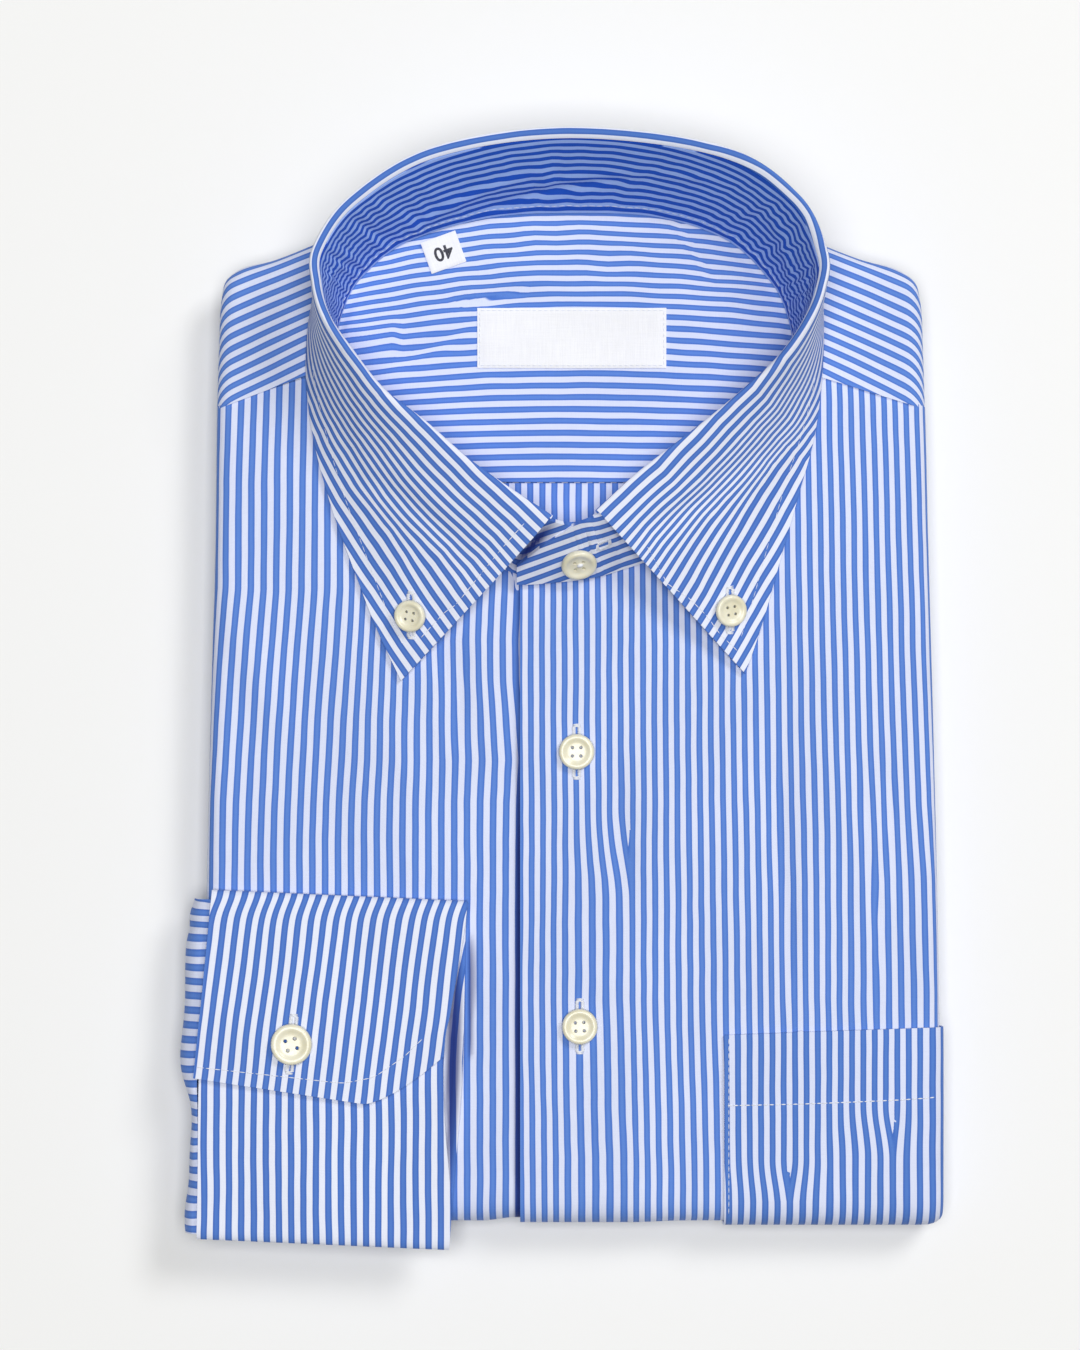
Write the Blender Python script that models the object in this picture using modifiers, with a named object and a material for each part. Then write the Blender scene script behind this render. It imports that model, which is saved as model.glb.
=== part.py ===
"""A long-sleeved dress shirt with a button-down collar, buttoned and folded for the shelf.

The sides are folded in and the tail is folded up behind, so the pack is a hairpin of two slabs.
Working units are millimetres: X runs across the chest, Y from the bottom fold up to the collar and
Z up from the surface that the pack lies on. The origin is the middle of the flat underside.
"""
import math

import bmesh
import bpy
import numpy as np
from mathutils import Vector

MM = 0.001

# Pack
REST_POINT_Y = 150.0        # from the bottom fold up to the origin
PACK_HEIGHT = 22.0          # both slabs together
MID_Z = PACK_HEIGHT / 2     # height of the gap between the two slabs
WALL = 1.2                  # a body panel
SEAM_GAP = 0.35             # left between two pieces that are sewn together
FOLD_DEPTH = 10.0           # how far the bottom fold reaches past the flat part
FOLD_SQUARENESS = 0.75      # below 1 makes the bottom fold fuller than a half circle
EDGE_DEPTH = 5.0            # how far each slab's side fold reaches past the flat part
GROOVE_HALF = 1.8           # half the height of the groove between the two slabs
EDGE_MIDDLE = (MID_Z + GROOVE_HALF) / 2
EDGE_HALF = (MID_Z - GROOVE_HALF) / 2
TUCK = 10.0                 # cloth turned in between the slabs
TAIL_END = 284.0            # where the hem of the tail lies, under the pack
CORNER_POWER = 0.5          # how soon the bottom corners narrow

# Front closure
PLACKET_EDGE = -17.9        # free edge of the upper front
LAP_EDGE = 17.9             # free edge of the front below it
PLACKET_RISE = 0.9
PLACKET_FADE = (18.0, 34.0)     # X over which the upper front sinks to the pack's own height
LAP_DROP = WALL + SEAM_GAP
LAP_FADE = (-30.0, -19.5)       # X over which the lower front sinks beneath the upper one

# Width of the pack at heights above the bottom fold
SIDES = np.array([
    # height, left side, right side
    (0, -117.4, 115.4),
    (60, -117.6, 115.4),
    (110, -117.5, 114.6),
    (160, -116.3, 113.4),
    (220, -114.8, 111.8),
    (262, -114.3, 110.8),
    (294, -113.2, 109.2)])

# Each shoulder seam runs from the side of the pack to the collar
SHOULDER_SIDE_Y = 259.0
SHOULDER_NECK_Y = 272.5

# Collar, from its left front corner round the back of the neck to its right front corner.
# The seam is where the stand is sewn to the neckline, the crease is the top of the roll and the
# edge is the free edge of the leaf. "lie" is 1 where the leaf lies on the shirt and 0 where it hangs.
COLLAR_BODY = np.array([
    # seam x, seam y, seam z, crease x, crease y, crease z, edge x, edge y, edge z, lie
    (-12.0, 205.3, 22.0, -8.5, 223.2, 42.0, -55.6, 172.2, 24.2, 1.00),
    (-31.0, 212.0, 22.5, -24.3, 233.6, 43.5, -63.3, 188.6, 24.0, 1.00),
    (-47.0, 222.5, 22.8, -35.6, 241.8, 45.3, -70.8, 208.0, 24.0, 0.95),
    (-60.0, 236.0, 22.8, -48.3, 252.7, 47.7, -77.9, 228.0, 24.0, 0.85),
    (-68.5, 250.0, 22.8, -61.1, 262.6, 50.5, -83.4, 249.0, 24.0, 0.70),
    (-74.0, 264.0, 22.8, -70.0, 275.1, 54.0, -86.3, 268.0, 24.0, 0.45),
    (-76.0, 279.0, 22.8, -76.7, 285.5, 57.0, -86.6, 284.0, 24.0, 0.20),
    (-73.5, 290.5, 22.8, -80.4, 295.6, 58.5, -86.3, 297.0, 24.0, 0.05),
    (-68.0, 300.0, 22.8, -80.2, 305.7, 58.8, -86.0, 308.0, 23.0, 0.00),
    (-54.0, 311.0, 22.8, -69.9, 321.0, 57.5, -72.0, 323.5, 14.0, 0.00),
    (-28.0, 318.8, 22.8, -44.4, 335.8, 55.0, -45.3, 338.5, 10.5, 0.00),
    (-1.5, 320.4, 22.8, -2.2, 342.1, 53.0, -2.2, 343.2, 9.0, 0.00),
    (26.0, 319.0, 22.8, 44.1, 335.6, 55.0, 45.0, 338.3, 10.5, 0.00),
    (48.0, 311.5, 22.8, 66.5, 320.3, 57.5, 68.6, 323.0, 14.0, 0.00),
    (61.5, 298.5, 22.8, 75.4, 303.8, 58.8, 80.0, 307.0, 23.0, 0.00),
    (66.5, 288.5, 22.8, 75.1, 293.1, 58.5, 79.6, 296.0, 24.0, 0.05),
    (68.4, 277.0, 22.8, 70.3, 283.2, 57.0, 79.0, 281.0, 24.0, 0.20),
    (66.5, 263.0, 22.8, 62.5, 273.7, 54.0, 77.8, 265.0, 24.0, 0.45),
    (62.0, 250.0, 22.8, 53.1, 264.9, 50.5, 75.3, 248.5, 24.0, 0.70),
    (54.0, 237.0, 22.8, 42.5, 254.7, 47.7, 71.0, 233.0, 24.0, 0.85),
    (43.0, 224.5, 22.9, 30.2, 244.8, 45.5, 65.2, 213.0, 24.0, 0.95),
    (29.5, 214.0, 23.0, 18.5, 235.8, 43.5, 59.0, 191.0, 24.0, 1.00),
    (12.0, 207.6, 23.3, 6.7, 225.0, 42.0, 53.4, 174.4, 24.2, 1.00)])
COLLAR_STATIONS = len(COLLAR_BODY)

# The stand runs on past the leaf's corners: its right end under, its left end over as the tab
STAND_UNDER_END = np.array([
    # seam x, seam y, seam z, top x, top y, top z
    (17.0, 210.2, 21.6, 15.5, 227.0, 35.6),
    (2.0, 206.8, 21.6, 3.0, 222.6, 35.8)])
STAND_TAB_END = np.array([
    # seam x, seam y, seam z, top x, top y, top z
    (3.0, 205.4, 23.4, -1.5, 221.4, 38.6),
    (-7.0, 204.2, 23.6, -8.5, 217.0, 35.4),
    (-14.5, 203.6, 23.7, -14.5, 212.6, 31.6),
    (-19.0, 203.5, 23.8, -19.0, 209.0, 28.6)])
STAND_WALL = 1.5
LEAF_WALL = 1.3
ROLL_HALF = 2.5             # half the thickness of the roll at the crease
ROLL_RISE = 6.0             # from the stand's top edge to the crease
ROLL_START = 3.2            # how far the leaf runs straight up from the stand
LEAF_SWELL = (3.0, 4.0)     # how far the leaf bulges outwards below the crease, and more where it lies
LEAF_RUN_OUT = 14.0         # length over which it comes to lie flat
LEAF_HANG = 16.0            # length over which it comes to hang straight down
LEAF_LIFT = 1.5

# Inner yoke and the patch of the back below it, seen through the neck
BACK_SEAM_Y = 235.0
INSIDE_Z = 22.3
DISH_DEPTH = 4.0
NECK_CENTRE = (-3.0, 262.0)
NECK_REACH = (72.0, 58.0)
INNER_YOKE_SIDE_Y = 250.0   # height at which its sides leave the neck seam
BACK_FRONT_Y = 228.0        # height up to which the back follows the front of the neck seam
BACK_FRONT_CLEAR = 3.0
BACK_DROP = 1.0             # the back lies this much lower than the yoke

# Outer yoke, from the neck seam out to the top edge of the pack and in beneath it
PACK_MIDDLE = (-2.5, 200.0)
YOKE_OUTLINE = np.array([
    # round (-1 left shoulder seam, 0 centre back), neck x, neck y, edge x, edge y, turned in
    (-1.00, -78.0, 273.2, -114.3, 259.7, 10.0),
    (-0.84, -78.3, 280.0, -113.7, 277.0, 10.0),
    (-0.72, -77.0, 287.0, -112.9, 293.0, 12.0),
    (-0.66, -75.8, 290.5, -111.6, 299.0, 14.0),
    (-0.60, -74.0, 294.5, -107.6, 302.6, 18.0),
    (-0.48, -69.5, 301.5, -95.0, 306.2, 24.0),
    (-0.38, -62.5, 308.0, -82.0, 311.5, 28.0),
    (-0.24, -45.0, 317.0, -56.0, 323.5, 34.0),
    (-0.12, -24.0, 321.8, -29.0, 330.0, 38.0),
    (0.00, -1.5, 323.0, -2.5, 331.5, 40.0),
    (0.12, 22.0, 321.9, 25.0, 330.0, 38.0),
    (0.24, 40.0, 318.0, 51.0, 323.5, 34.0),
    (0.38, 56.5, 307.5, 76.5, 311.5, 28.0),
    (0.48, 63.2, 300.0, 90.0, 306.2, 24.0),
    (0.60, 67.5, 293.0, 102.6, 302.6, 18.0),
    (0.66, 69.2, 289.0, 107.6, 299.0, 14.0),
    (0.72, 70.3, 285.0, 109.3, 293.0, 12.0),
    (0.84, 70.9, 278.0, 110.2, 277.0, 10.0),
    (1.00, 69.8, 272.2, 110.8, 259.7, 10.0)])

# Chest pocket, which wraps over the side fold and the bottom fold
POCKET_EDGE = 46.8
POCKET_TOP = 60.0
POCKET_TOP_SLOPE = 0.035
POCKET_WALL = 1.0

# Cuff, lying flat as a loop on the lower left of the pack
CUFF_WALL = 1.5
CUFF_TURN = math.radians(-2.5)
CUFF_MIDDLE_X = -78.0
CUFF_LAYERS = np.array([
    # along the loop, height above the bottom fold, height off the front, left end, right end
    (0.00, 42.0, 6.1, -121.1, -42.0),
    (0.10, 67.0, 6.1, -118.8, -40.2),
    (0.14, 80.0, 5.2, -117.6, -38.0),
    (0.20, 99.0, 4.7, -115.8, -35.0),
    (0.23, 103.2, 4.0, -115.4, -34.6),
    (0.25, 104.4, 2.4, -115.4, -34.6),
    (0.27, 103.2, 1.1, -115.4, -34.7),
    (0.30, 99.0, 0.55, -115.8, -35.0),
    (0.45, 50.0, 0.5, -119.5, -36.2),
    (0.60, 2.0, 0.55, -120.0, -39.8),
    (0.63, -4.6, 1.0, -120.2, -40.2),
    (0.65, -6.4, 2.2, -120.2, -40.4),
    (0.67, -4.6, 3.6, -120.2, -40.2),
    (0.70, 2.0, 4.1, -120.0, -39.8),
    (0.85, 36.0, 4.1, -119.6, -36.6),
    (1.00, 67.0, 4.1, -118.8, -38.6)])
CUFF_FREE_EDGE = (44.8, 39.0)       # height of the overlap's edge at its left end and at its corner
CUFF_CORNER = (0.70, 16.2)          # where its corner starts across the cuff, and how high it rounds

# End of the sleeve, which comes out between the slabs and turns up over the left side
SLEEVE_WALL = 2.0
SLEEVE_BULGE = np.array([
    # height above the bottom fold, how far left the sleeve reaches
    (-4, -124.4), (9, -124.0), (25, -122.4), (38, -123.0), (49, -125.4), (64, -125.2), (80, -124.3),
    (96, -123.1), (104, -121.9)])
SLEEVE_END_X = -106.0       # how far in between the slabs the sleeve is built
SLEEVE_INSIDE = (9.0, 101.0)        # its lowest and highest Y between the slabs
SLEEVE_OUTSIDE = (-3.0, 103.0)      # and where it meets the cuff
SLEEVE_EXIT_Y = 50.0        # height at which the gap between the slabs is measured
SLEEVE_DROP = 1.1           # below the middle of the gap
SLEEVE_RISE = 4.0           # above the pack where it reaches the cuff
CUFF_LEFT_END = np.array([
    # height above the bottom fold, leftmost X of the cuff's layers
    (-4.0, -120.2), (45.0, -121.1), (105.0, -115.4)])

# Largest soft folds of the fronts: a low ridge or trough between two points
SOFT_FOLDS = np.array([
    # from x, from y, to x, to y, half width, height
    (-112, 203, -92, 150, 9, 0.9),
    (-41, 196, -38, 150, 7, -0.9),
    (-66, 172, -44, 120, 12, 0.5),
    (15, 140, 14, 96, 7, -0.8),
    (66, 144, 64, 76, 8, -0.9),
    (94, 136, 92, 74, 8, 0.7)])

# Buttons: diameter, thickness, and where each lies
BUTTON_PROFILE = (
    # share of the radius, height above the cloth
    (0.0, 1.7), (0.52, 1.7), (0.64, 2.25), (0.78, 2.6), (0.92, 2.3), (1.0, 1.3), (0.86, 0.2), (0.70, 0.0),
    (0.0, 0.0))
BUTTON_STEPS = 16
HOLE_RADIUS = 0.085         # share of the diameter
HOLE_REACH = 0.148          # from the middle, share of the diameter
HOLE_DEPTH = 8.0
BUTTONS = (
    # name, diameter, x, y
    ("button_front_1", 11.3, 0.0, 149.7),
    ("button_front_2", 11.3, 1.0, 62.7))
NECK_BUTTON = (11.3, 0.3, 211.8)
POINT_BUTTONS = (
    # name, diameter, x, y, first and last collar station near it
    ("button_collar_left", 10.2, -52.3, 192.9, 0, 2),
    ("button_collar_right", 10.2, 48.4, 194.5, 20, 22))
CUFF_BUTTON = (13.0, -90.0, 57.5)

# Labels
NECK_LABEL = (-1.5, 281.0, 60.0, 19.0)
SIZE_TAB = (-42.2, 308.0, 11.7, 10.4)
SIZE_TAB_TURN = math.radians(20)
LABEL_WALL = 1.0

# Hidden layers, one solid inside the fronts and the yoke
LAYER_CLEAR = 0.4
HAIRPIN_X = 108.0           # half the width of its flat faces
HAIRPIN_MIDDLE_X = -1.5
UPPER_SAG = 1.2             # room left under the fronts' soft folds
LOBE_SAG = 1.6              # room left inside the side folds
TURNED_REACH = 5.7          # how far its turned-in layers reach into the bottom fold
GROOVE_DEPTH = 2.5          # past the cloth turned in at the sides
WEB_DEPTH = 3.5
WEB_HALF = 0.25             # half the thickness of the web that joins the two slabs
WEB_REACH = 1.5
WEB_INSIDE = 80.0
WEB_END_Y = 272.0           # above here only the upper slab is left
TOP_CLEAR = 6.5             # inside the yoke's fold at the top of the pack
TAIL_CLEAR = 2.0

SHIRT_BLUE = (0.15, 0.29, 0.72)
BUTTON_CREAM = (0.86, 0.83, 0.70)
LABEL_WHITE = (0.86, 0.86, 0.88)


def smooth(rows, column, at):
    """Value of a table's column between its rows, on a smooth curve through them."""
    stations = rows[:, 0]
    slopes = np.gradient(rows[:, column], stations)
    row = int(np.clip(np.searchsorted(stations, at) - 1, 0, len(stations) - 2))
    step = stations[row + 1] - stations[row]
    t = min(max((at - stations[row]) / step, 0.0), 1.0)
    start, end = rows[row, column], rows[row + 1, column]
    return (start * (1 + 2 * t) * (1 - t) ** 2 + end * t * t * (3 - 2 * t)
            + step * (slopes[row] * t * (1 - t) ** 2 - slopes[row + 1] * t * t * (1 - t)))


def numbered(rows):
    """The same table with its rows numbered in a new first column."""
    return np.column_stack((np.arange(len(rows)), rows))


def bezier(start, leave, arrive, end, t):
    """Point on a cubic curve that leaves start towards leave and reaches end from arrive."""
    return (start * (1 - t) ** 3 + leave * 3 * t * (1 - t) ** 2
            + arrive * 3 * t * t * (1 - t) + end * t ** 3)


COLLAR_ROWS = numbered(COLLAR_BODY)


def unit(vector):
    return vector / np.linalg.norm(vector)


def signed_power(value, power):
    return math.copysign(abs(value) ** power, value)


# ---------------------------------------------------------------- body of the pack

def side_x(y, hand):
    """Outermost X of the pack on one side (hand -1 left, 1 right)."""
    return smooth(SIDES, 1 if hand < 0 else 2, y)


def soft_relief(x, y):
    """Height that the fronts' soft folds add at a place."""
    height = 0.0
    for from_x, from_y, to_x, to_y, half_width, rise in SOFT_FOLDS:
        along_x, along_y = to_x - from_x, to_y - from_y
        length = math.hypot(along_x, along_y)
        t = ((x - from_x) * along_x + (y - from_y) * along_y) / length ** 2
        if 0 < t < 1:
            off = abs((x - from_x) * along_y - (y - from_y) * along_x) / length
            if off < half_width:
                height += rise * math.sin(math.pi * t) * 0.5 * (1 + math.cos(math.pi * off / half_width))
    return height


def top_z(x, y):
    """Height of the fronts' upper face."""
    return PACK_HEIGHT + soft_relief(x, y)


def collar_seam_line():
    """Points of the neck seam in order, left front corner to right front corner."""
    places = np.linspace(0, COLLAR_STATIONS - 1, 8 * COLLAR_STATIONS)
    return np.array([(smooth(COLLAR_ROWS, 1, s), smooth(COLLAR_ROWS, 2, s)) for s in places])


def neckline_table():
    """Upper edge of the fronts: X against Y, from the left side to the right side."""
    seam = collar_seam_line()
    front = seam[seam[:, 1] < SHOULDER_NECK_Y]
    left = front[front[:, 0] < STAND_TAB_END[-1, 0] - 1]
    right = front[front[:, 0] > COLLAR_BODY[-1, 0]]
    tab = STAND_TAB_END[::-1, :2]
    line = [(side_x(SHOULDER_SIDE_Y, -1) - 2, SHOULDER_SIDE_Y)]
    line += [tuple(p) for p in left[np.argsort(left[:, 0])]]
    line += [tuple(p) for p in tab]
    line += [tuple(p) for p in right[np.argsort(right[:, 0])]]
    line += [(side_x(SHOULDER_SIDE_Y, 1) + 2, SHOULDER_SIDE_Y)]
    return np.array(line)


NECKLINE = neckline_table()
NECKLINE_CLEAR = 0.9


def front_top_y(x):
    return float(np.interp(x, NECKLINE[:, 0], NECKLINE[:, 1])) - NECKLINE_CLEAR


def front_point(place, free_edge, hand, along, lift=0.0):
    """Outer face of a front.

    place 0..1 runs flat from the free edge to the side, 1..2 round the side fold and 2..3 inwards
    between the slabs. along 0..1 runs down the chest, 1..2 round the bottom fold and 2..3 back up
    underneath. lift moves the point off the cloth, for what lies on it.
    """
    def across(y):
        """X, height off the middle, and the share of the lift that points away from the middle."""
        flat_end = side_x(y, hand) - hand * EDGE_DEPTH
        if place <= 1:
            return free_edge + (flat_end - free_edge) * place, MID_Z, 1.0
        if place <= 2:
            turn = math.radians(90 - 180 * (place - 1))
            return (flat_end + hand * (EDGE_DEPTH + lift) * math.cos(turn),
                    EDGE_MIDDLE + EDGE_HALF * math.sin(turn), math.sin(turn))
        return flat_end - hand * TUCK * (place - 2), GROOVE_HALF, -1.0

    nominal_x = across(SHOULDER_SIDE_Y)[0]
    upper_y = front_top_y(nominal_x)
    if along <= 1:
        y, turn = upper_y + (FOLD_DEPTH - upper_y) * along, 0.0
    elif along <= 2:
        y, turn = FOLD_DEPTH, math.pi * (along - 1)
    else:
        y, turn = FOLD_DEPTH + (TAIL_END - FOLD_DEPTH) * (along - 2), math.pi
    x, off, outward = across(y)
    upper_share = math.cos(turn / 2) ** 2
    if place <= 1:
        shift = lap_shift(x, hand, upper_share) + soft_relief(x, y) * upper_share
        off += shift
        reach = FOLD_DEPTH + shift
    else:
        reach = FOLD_DEPTH * (off / MID_Z) ** CORNER_POWER
    y -= (reach + lift * outward) * abs(math.sin(turn)) ** FOLD_SQUARENESS
    z = MID_Z + (off + lift * outward) * signed_power(math.cos(turn), FOLD_SQUARENESS)
    return x, y, z


def ramp(value, start, end):
    """0 at start and 1 at end, eased at both."""
    t = min(max((value - start) / (end - start), 0.0), 1.0)
    return t * t * (3 - 2 * t)


def lap_shift(x, hand, upper_share):
    """How far the two fronts stand off or sink where they lap."""
    if hand > 0:
        return PLACKET_RISE * upper_share * (1 - ramp(x, *PLACKET_FADE))
    sunk = PLACKET_RISE * upper_share - LAP_DROP
    return sunk * ramp(x, *LAP_FADE)


# ---------------------------------------------------------------- inside of the neck

def inside_z(x, y):
    """Upper face of the inner yoke and the back, dished inside the neck."""
    across = (x - NECK_CENTRE[0]) / NECK_REACH[0]
    along = (y - NECK_CENTRE[1]) / NECK_REACH[1]
    hollow = max(0.0, 1 - across * across - along * along)
    return INSIDE_Z - DISH_DEPTH * hollow


def seam_at(station):
    return np.array([smooth(COLLAR_ROWS, column, station) for column in (1, 2, 3)])


def seam_station(y, first, last):
    """Station between first and last at which the neck seam is at this height."""
    places = np.linspace(first, last, 120)
    heights = [seam_at(s)[1] for s in places]
    return float(places[int(np.argmin(np.abs(np.array(heights) - y)))])


# ---------------------------------------------------------------- collar

def leaf_row(station):
    values = np.array([smooth(COLLAR_ROWS, column, station) for column in range(1, 11)])
    return values[0:3], values[3:6], values[6:9], min(max(values[9], 0.0), 1.0)


def leaf_frame(station):
    """Points and directions of one section of the collar."""
    seam, crease, edge, lie = leaf_row(station)
    before = leaf_row(max(station - 0.05, 0))[1]
    after = leaf_row(min(station + 0.05, COLLAR_STATIONS - 1))[1]
    run = unit((after - before) * np.array((1, 1, 0)))
    out = np.array((-run[1], run[0], 0.0))
    inner = crease - out * ROLL_HALF
    up = unit(inner - seam)
    top = inner - up * ROLL_RISE
    return seam, top, up, crease, out, edge, lie


def leaf_point(station, down):
    """Visible face of the leaf: 0..1 up and over the roll, 1..2 from the crease to the edge."""
    seam, top, up, crease, out, edge, lie = leaf_frame(station)
    if down <= 1:
        return bezier(top + up * 2 * SEAM_GAP, top + up * ROLL_START, crease - out * ROLL_START / 2,
                      crease, down)
    swell = LEAF_SWELL[0] + LEAF_SWELL[1] * lie
    flat = unit((crease - edge) * np.array((1, 1, 0.0)) + 1e-6)
    arrive = edge + flat * LEAF_RUN_OUT * lie
    arrive = arrive + np.array((0, 0, LEAF_HANG * (1 - lie) + LEAF_LIFT))
    return bezier(crease, crease + out * swell, arrive, edge, down - 1)


STAND_STATIONS = np.arange(-len(STAND_UNDER_END), COLLAR_STATIONS + len(STAND_TAB_END))


def stand_table():
    """Seam and top edge of the stand at every station, with both ends added."""
    rows = [tuple(row) for row in STAND_UNDER_END]
    for station in range(COLLAR_STATIONS):
        seam, top, *_ = leaf_frame(station)
        rows.append((*seam, *top))
    rows += [tuple(row) for row in STAND_TAB_END]
    return np.column_stack((STAND_STATIONS, np.array(rows)))


STAND = stand_table()


def stand_point(station, up):
    """Inner face of the stand, from the neck seam (0) to its top edge (1)."""
    values = np.array([smooth(STAND, column, station) for column in range(1, 7)])
    return values[0:3] * (1 - up) + values[3:6] * up


# ---------------------------------------------------------------- making objects

def material(name, colour, roughness):
    surface = bpy.data.materials.new(name)
    surface.use_nodes = True
    shader = surface.node_tree.nodes["Principled BSDF"]
    shader.inputs["Base Color"].default_value = (*colour, 1)
    shader.inputs["Roughness"].default_value = roughness
    shader.inputs["Metallic"].default_value = 0.0
    surface.diffuse_color = (*colour, 1)
    return surface


def to_part(point):
    """Millimetres in the working frame to metres in the part's frame."""
    return (point[0] * MM, (point[1] - REST_POINT_Y) * MM, point[2] * MM)


def finish(name, mesh_data, colour, roughness):
    mesh = bpy.data.meshes.new(name)
    mesh_data.to_mesh(mesh)
    mesh_data.free()
    mesh.shade_smooth()
    mesh.set_sharp_from_angle(angle=math.radians(40))
    obj = bpy.data.objects.new(name, mesh)
    obj.data.materials.append(material(name, colour, roughness))
    bpy.data.collections["folded_dress_shirt"].objects.link(obj)
    return obj


def sheet(name, shape, columns, rows, wall, side, colour=SHIRT_BLUE):
    """A cloth wall: a grid shaped by a function, thickened to one side (-1 behind its face)."""
    grid = bmesh.new()
    bmesh.ops.create_grid(grid, x_segments=len(columns) - 1, y_segments=len(rows) - 1, size=0.5)
    for vertex in grid.verts:
        column = round((vertex.co.x + 0.5) * (len(columns) - 1))
        row = round((vertex.co.y + 0.5) * (len(rows) - 1))
        vertex.co = to_part(shape(columns[column], rows[row]))
    obj = finish(name, grid, colour, 0.75)
    solid = obj.modifiers.new("wall", "SOLIDIFY")
    solid.thickness = wall * MM
    solid.offset = side
    return obj


FLAT_PLACES = (0, 0.08, 0.18, 0.28, 0.38, 0.47, 0.54, 0.60, 0.64, 0.68, 0.75, 0.85, 0.94, 1.0)
FOLD_PLACES = tuple(1 + (step + 1) / 6 for step in range(6))
CHEST_ROWS = tuple(step / 12 for step in range(13))
BOTTOM_ROWS = (1.1, 1.22, 1.36, 1.5, 1.64, 1.78, 1.9, 2.0)
TAIL_ROWS = (2.25, 2.5, 2.75, 3.0)


def make_fronts():
    for name, free_edge, hand in (("front_left", PLACKET_EDGE, 1), ("front_right", LAP_EDGE, -1)):
        sheet(name, lambda place, along: front_point(place, free_edge, hand, along),
              FLAT_PLACES + FOLD_PLACES + (3.0,), CHEST_ROWS + BOTTOM_ROWS + TAIL_ROWS, WALL, hand)


def make_pocket():
    """The pocket lies on the left front's own points, moved out."""
    flat_end = side_x(0, 1) - EDGE_DEPTH
    edge_place = (POCKET_EDGE - PLACKET_EDGE) / (flat_end - PLACKET_EDGE)
    places = tuple(np.linspace(edge_place, 1, 8)) + FOLD_PLACES[:5]

    def shape(place, down):
        x = front_point(min(place, 1.9), PLACKET_EDGE, 1, 0.75)[0]
        upper_y = front_top_y(front_point(place, PLACKET_EDGE, 1, 0)[0])
        mouth_y = POCKET_TOP + POCKET_TOP_SLOPE * (x - POCKET_EDGE)
        mouth = (upper_y - mouth_y) / (upper_y - FOLD_DEPTH)
        along = mouth + (1 - mouth) * down if down <= 1 else down
        return front_point(place, PLACKET_EDGE, 1, along, POCKET_WALL + SEAM_GAP)

    sheet("pocket", shape, places, tuple(np.linspace(0, 1, 7)) + BOTTOM_ROWS[:5], POCKET_WALL, 1)


def make_outer_yoke():
    """Both shoulders: flat on top, round the top edge of the pack and in beneath it."""
    def edge_at(round_neck):
        return np.array([smooth(YOKE_OUTLINE, column, round_neck) for column in (3, 4)])

    def outer(round_neck, along):
        neck = np.array([smooth(YOKE_OUTLINE, column, round_neck) for column in (1, 2)])
        edge = edge_at(round_neck)
        run = unit(edge_at(round_neck + 0.02) - edge_at(round_neck - 0.02))
        at_shoulder = ramp(abs(round_neck), 0.7, 1.0)
        out = unit(np.array((-run[1], run[0])) * (1 - at_shoulder) + unit(edge - neck) * at_shoulder)
        flat_end = edge - out * EDGE_DEPTH
        if along <= 1:
            place = neck + (flat_end - neck) * along
            return (*place, PACK_HEIGHT)
        if along <= 2:
            turn = math.radians(90 - 180 * (along - 1))
            place = flat_end + out * EDGE_DEPTH * math.cos(turn)
            return (*place, MID_Z + EDGE_MIDDLE + EDGE_HALF * math.sin(turn))
        inward = unit(unit(np.array(PACK_MIDDLE) - flat_end) * (1 - at_shoulder) - out * at_shoulder)
        place = flat_end + inward * smooth(YOKE_OUTLINE, 5, round_neck) * (along - 2)
        return (*place, MID_Z + GROOVE_HALF)

    sheet("yoke_outer", outer, tuple(np.linspace(-1, 1, 37)), (0, 0.5, 1.0) + FOLD_PLACES + (2.5, 3.0),
          WALL, -1)


def make_inside_of_neck():
    """The inner yoke and, below its seam, the patch of the back that shows inside the neck."""
    first = seam_station(INNER_YOKE_SIDE_Y, 2, 8)
    last = seam_station(INNER_YOKE_SIDE_Y, 16, 21)
    left_x = seam_at(seam_station(BACK_SEAM_Y, 1, 6))[0]
    right_x = seam_at(seam_station(BACK_SEAM_Y, 17, 21))[0]

    def inner(across, up):
        upper = seam_at(first + (last - first) * across)
        centre = np.array((*NECK_CENTRE, 0))
        upper = upper + unit((centre - upper) * np.array((1, 1, 0))) * SEAM_GAP
        lower_x = left_x + (right_x - left_x) * across
        x = lower_x + (upper[0] - lower_x) * up
        y = BACK_SEAM_Y + SEAM_GAP + (upper[1] - BACK_SEAM_Y - SEAM_GAP) * up
        return x, y, inside_z(x, y)

    sheet("yoke_inner", inner, tuple(np.linspace(0, 1, 25)), tuple(np.linspace(0, 1, 9)), WALL, -1)

    left_end = seam_station(BACK_FRONT_Y, 0, 4)
    right_end = seam_station(BACK_FRONT_Y, 18, 22)
    right_front = COLLAR_STATIONS - 1

    def back(across, up):
        if across < 0.5:
            station = left_end * (1 - 2 * across)
        else:
            station = right_front + (right_end - right_front) * (2 * across - 1)
        lower = seam_at(station) + np.array((0, BACK_FRONT_CLEAR, 0))
        upper_x = left_x + BACK_FRONT_CLEAR + (right_x - left_x - 2 * BACK_FRONT_CLEAR) * across
        x = lower[0] + (upper_x - lower[0]) * up
        y = lower[1] + (BACK_SEAM_Y - lower[1]) * up
        return x, y, inside_z(x, y) - BACK_DROP

    sheet("back_panel", back, tuple(np.linspace(0, 1, 13)), tuple(np.linspace(0, 1, 5)), WALL, -1)


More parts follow.
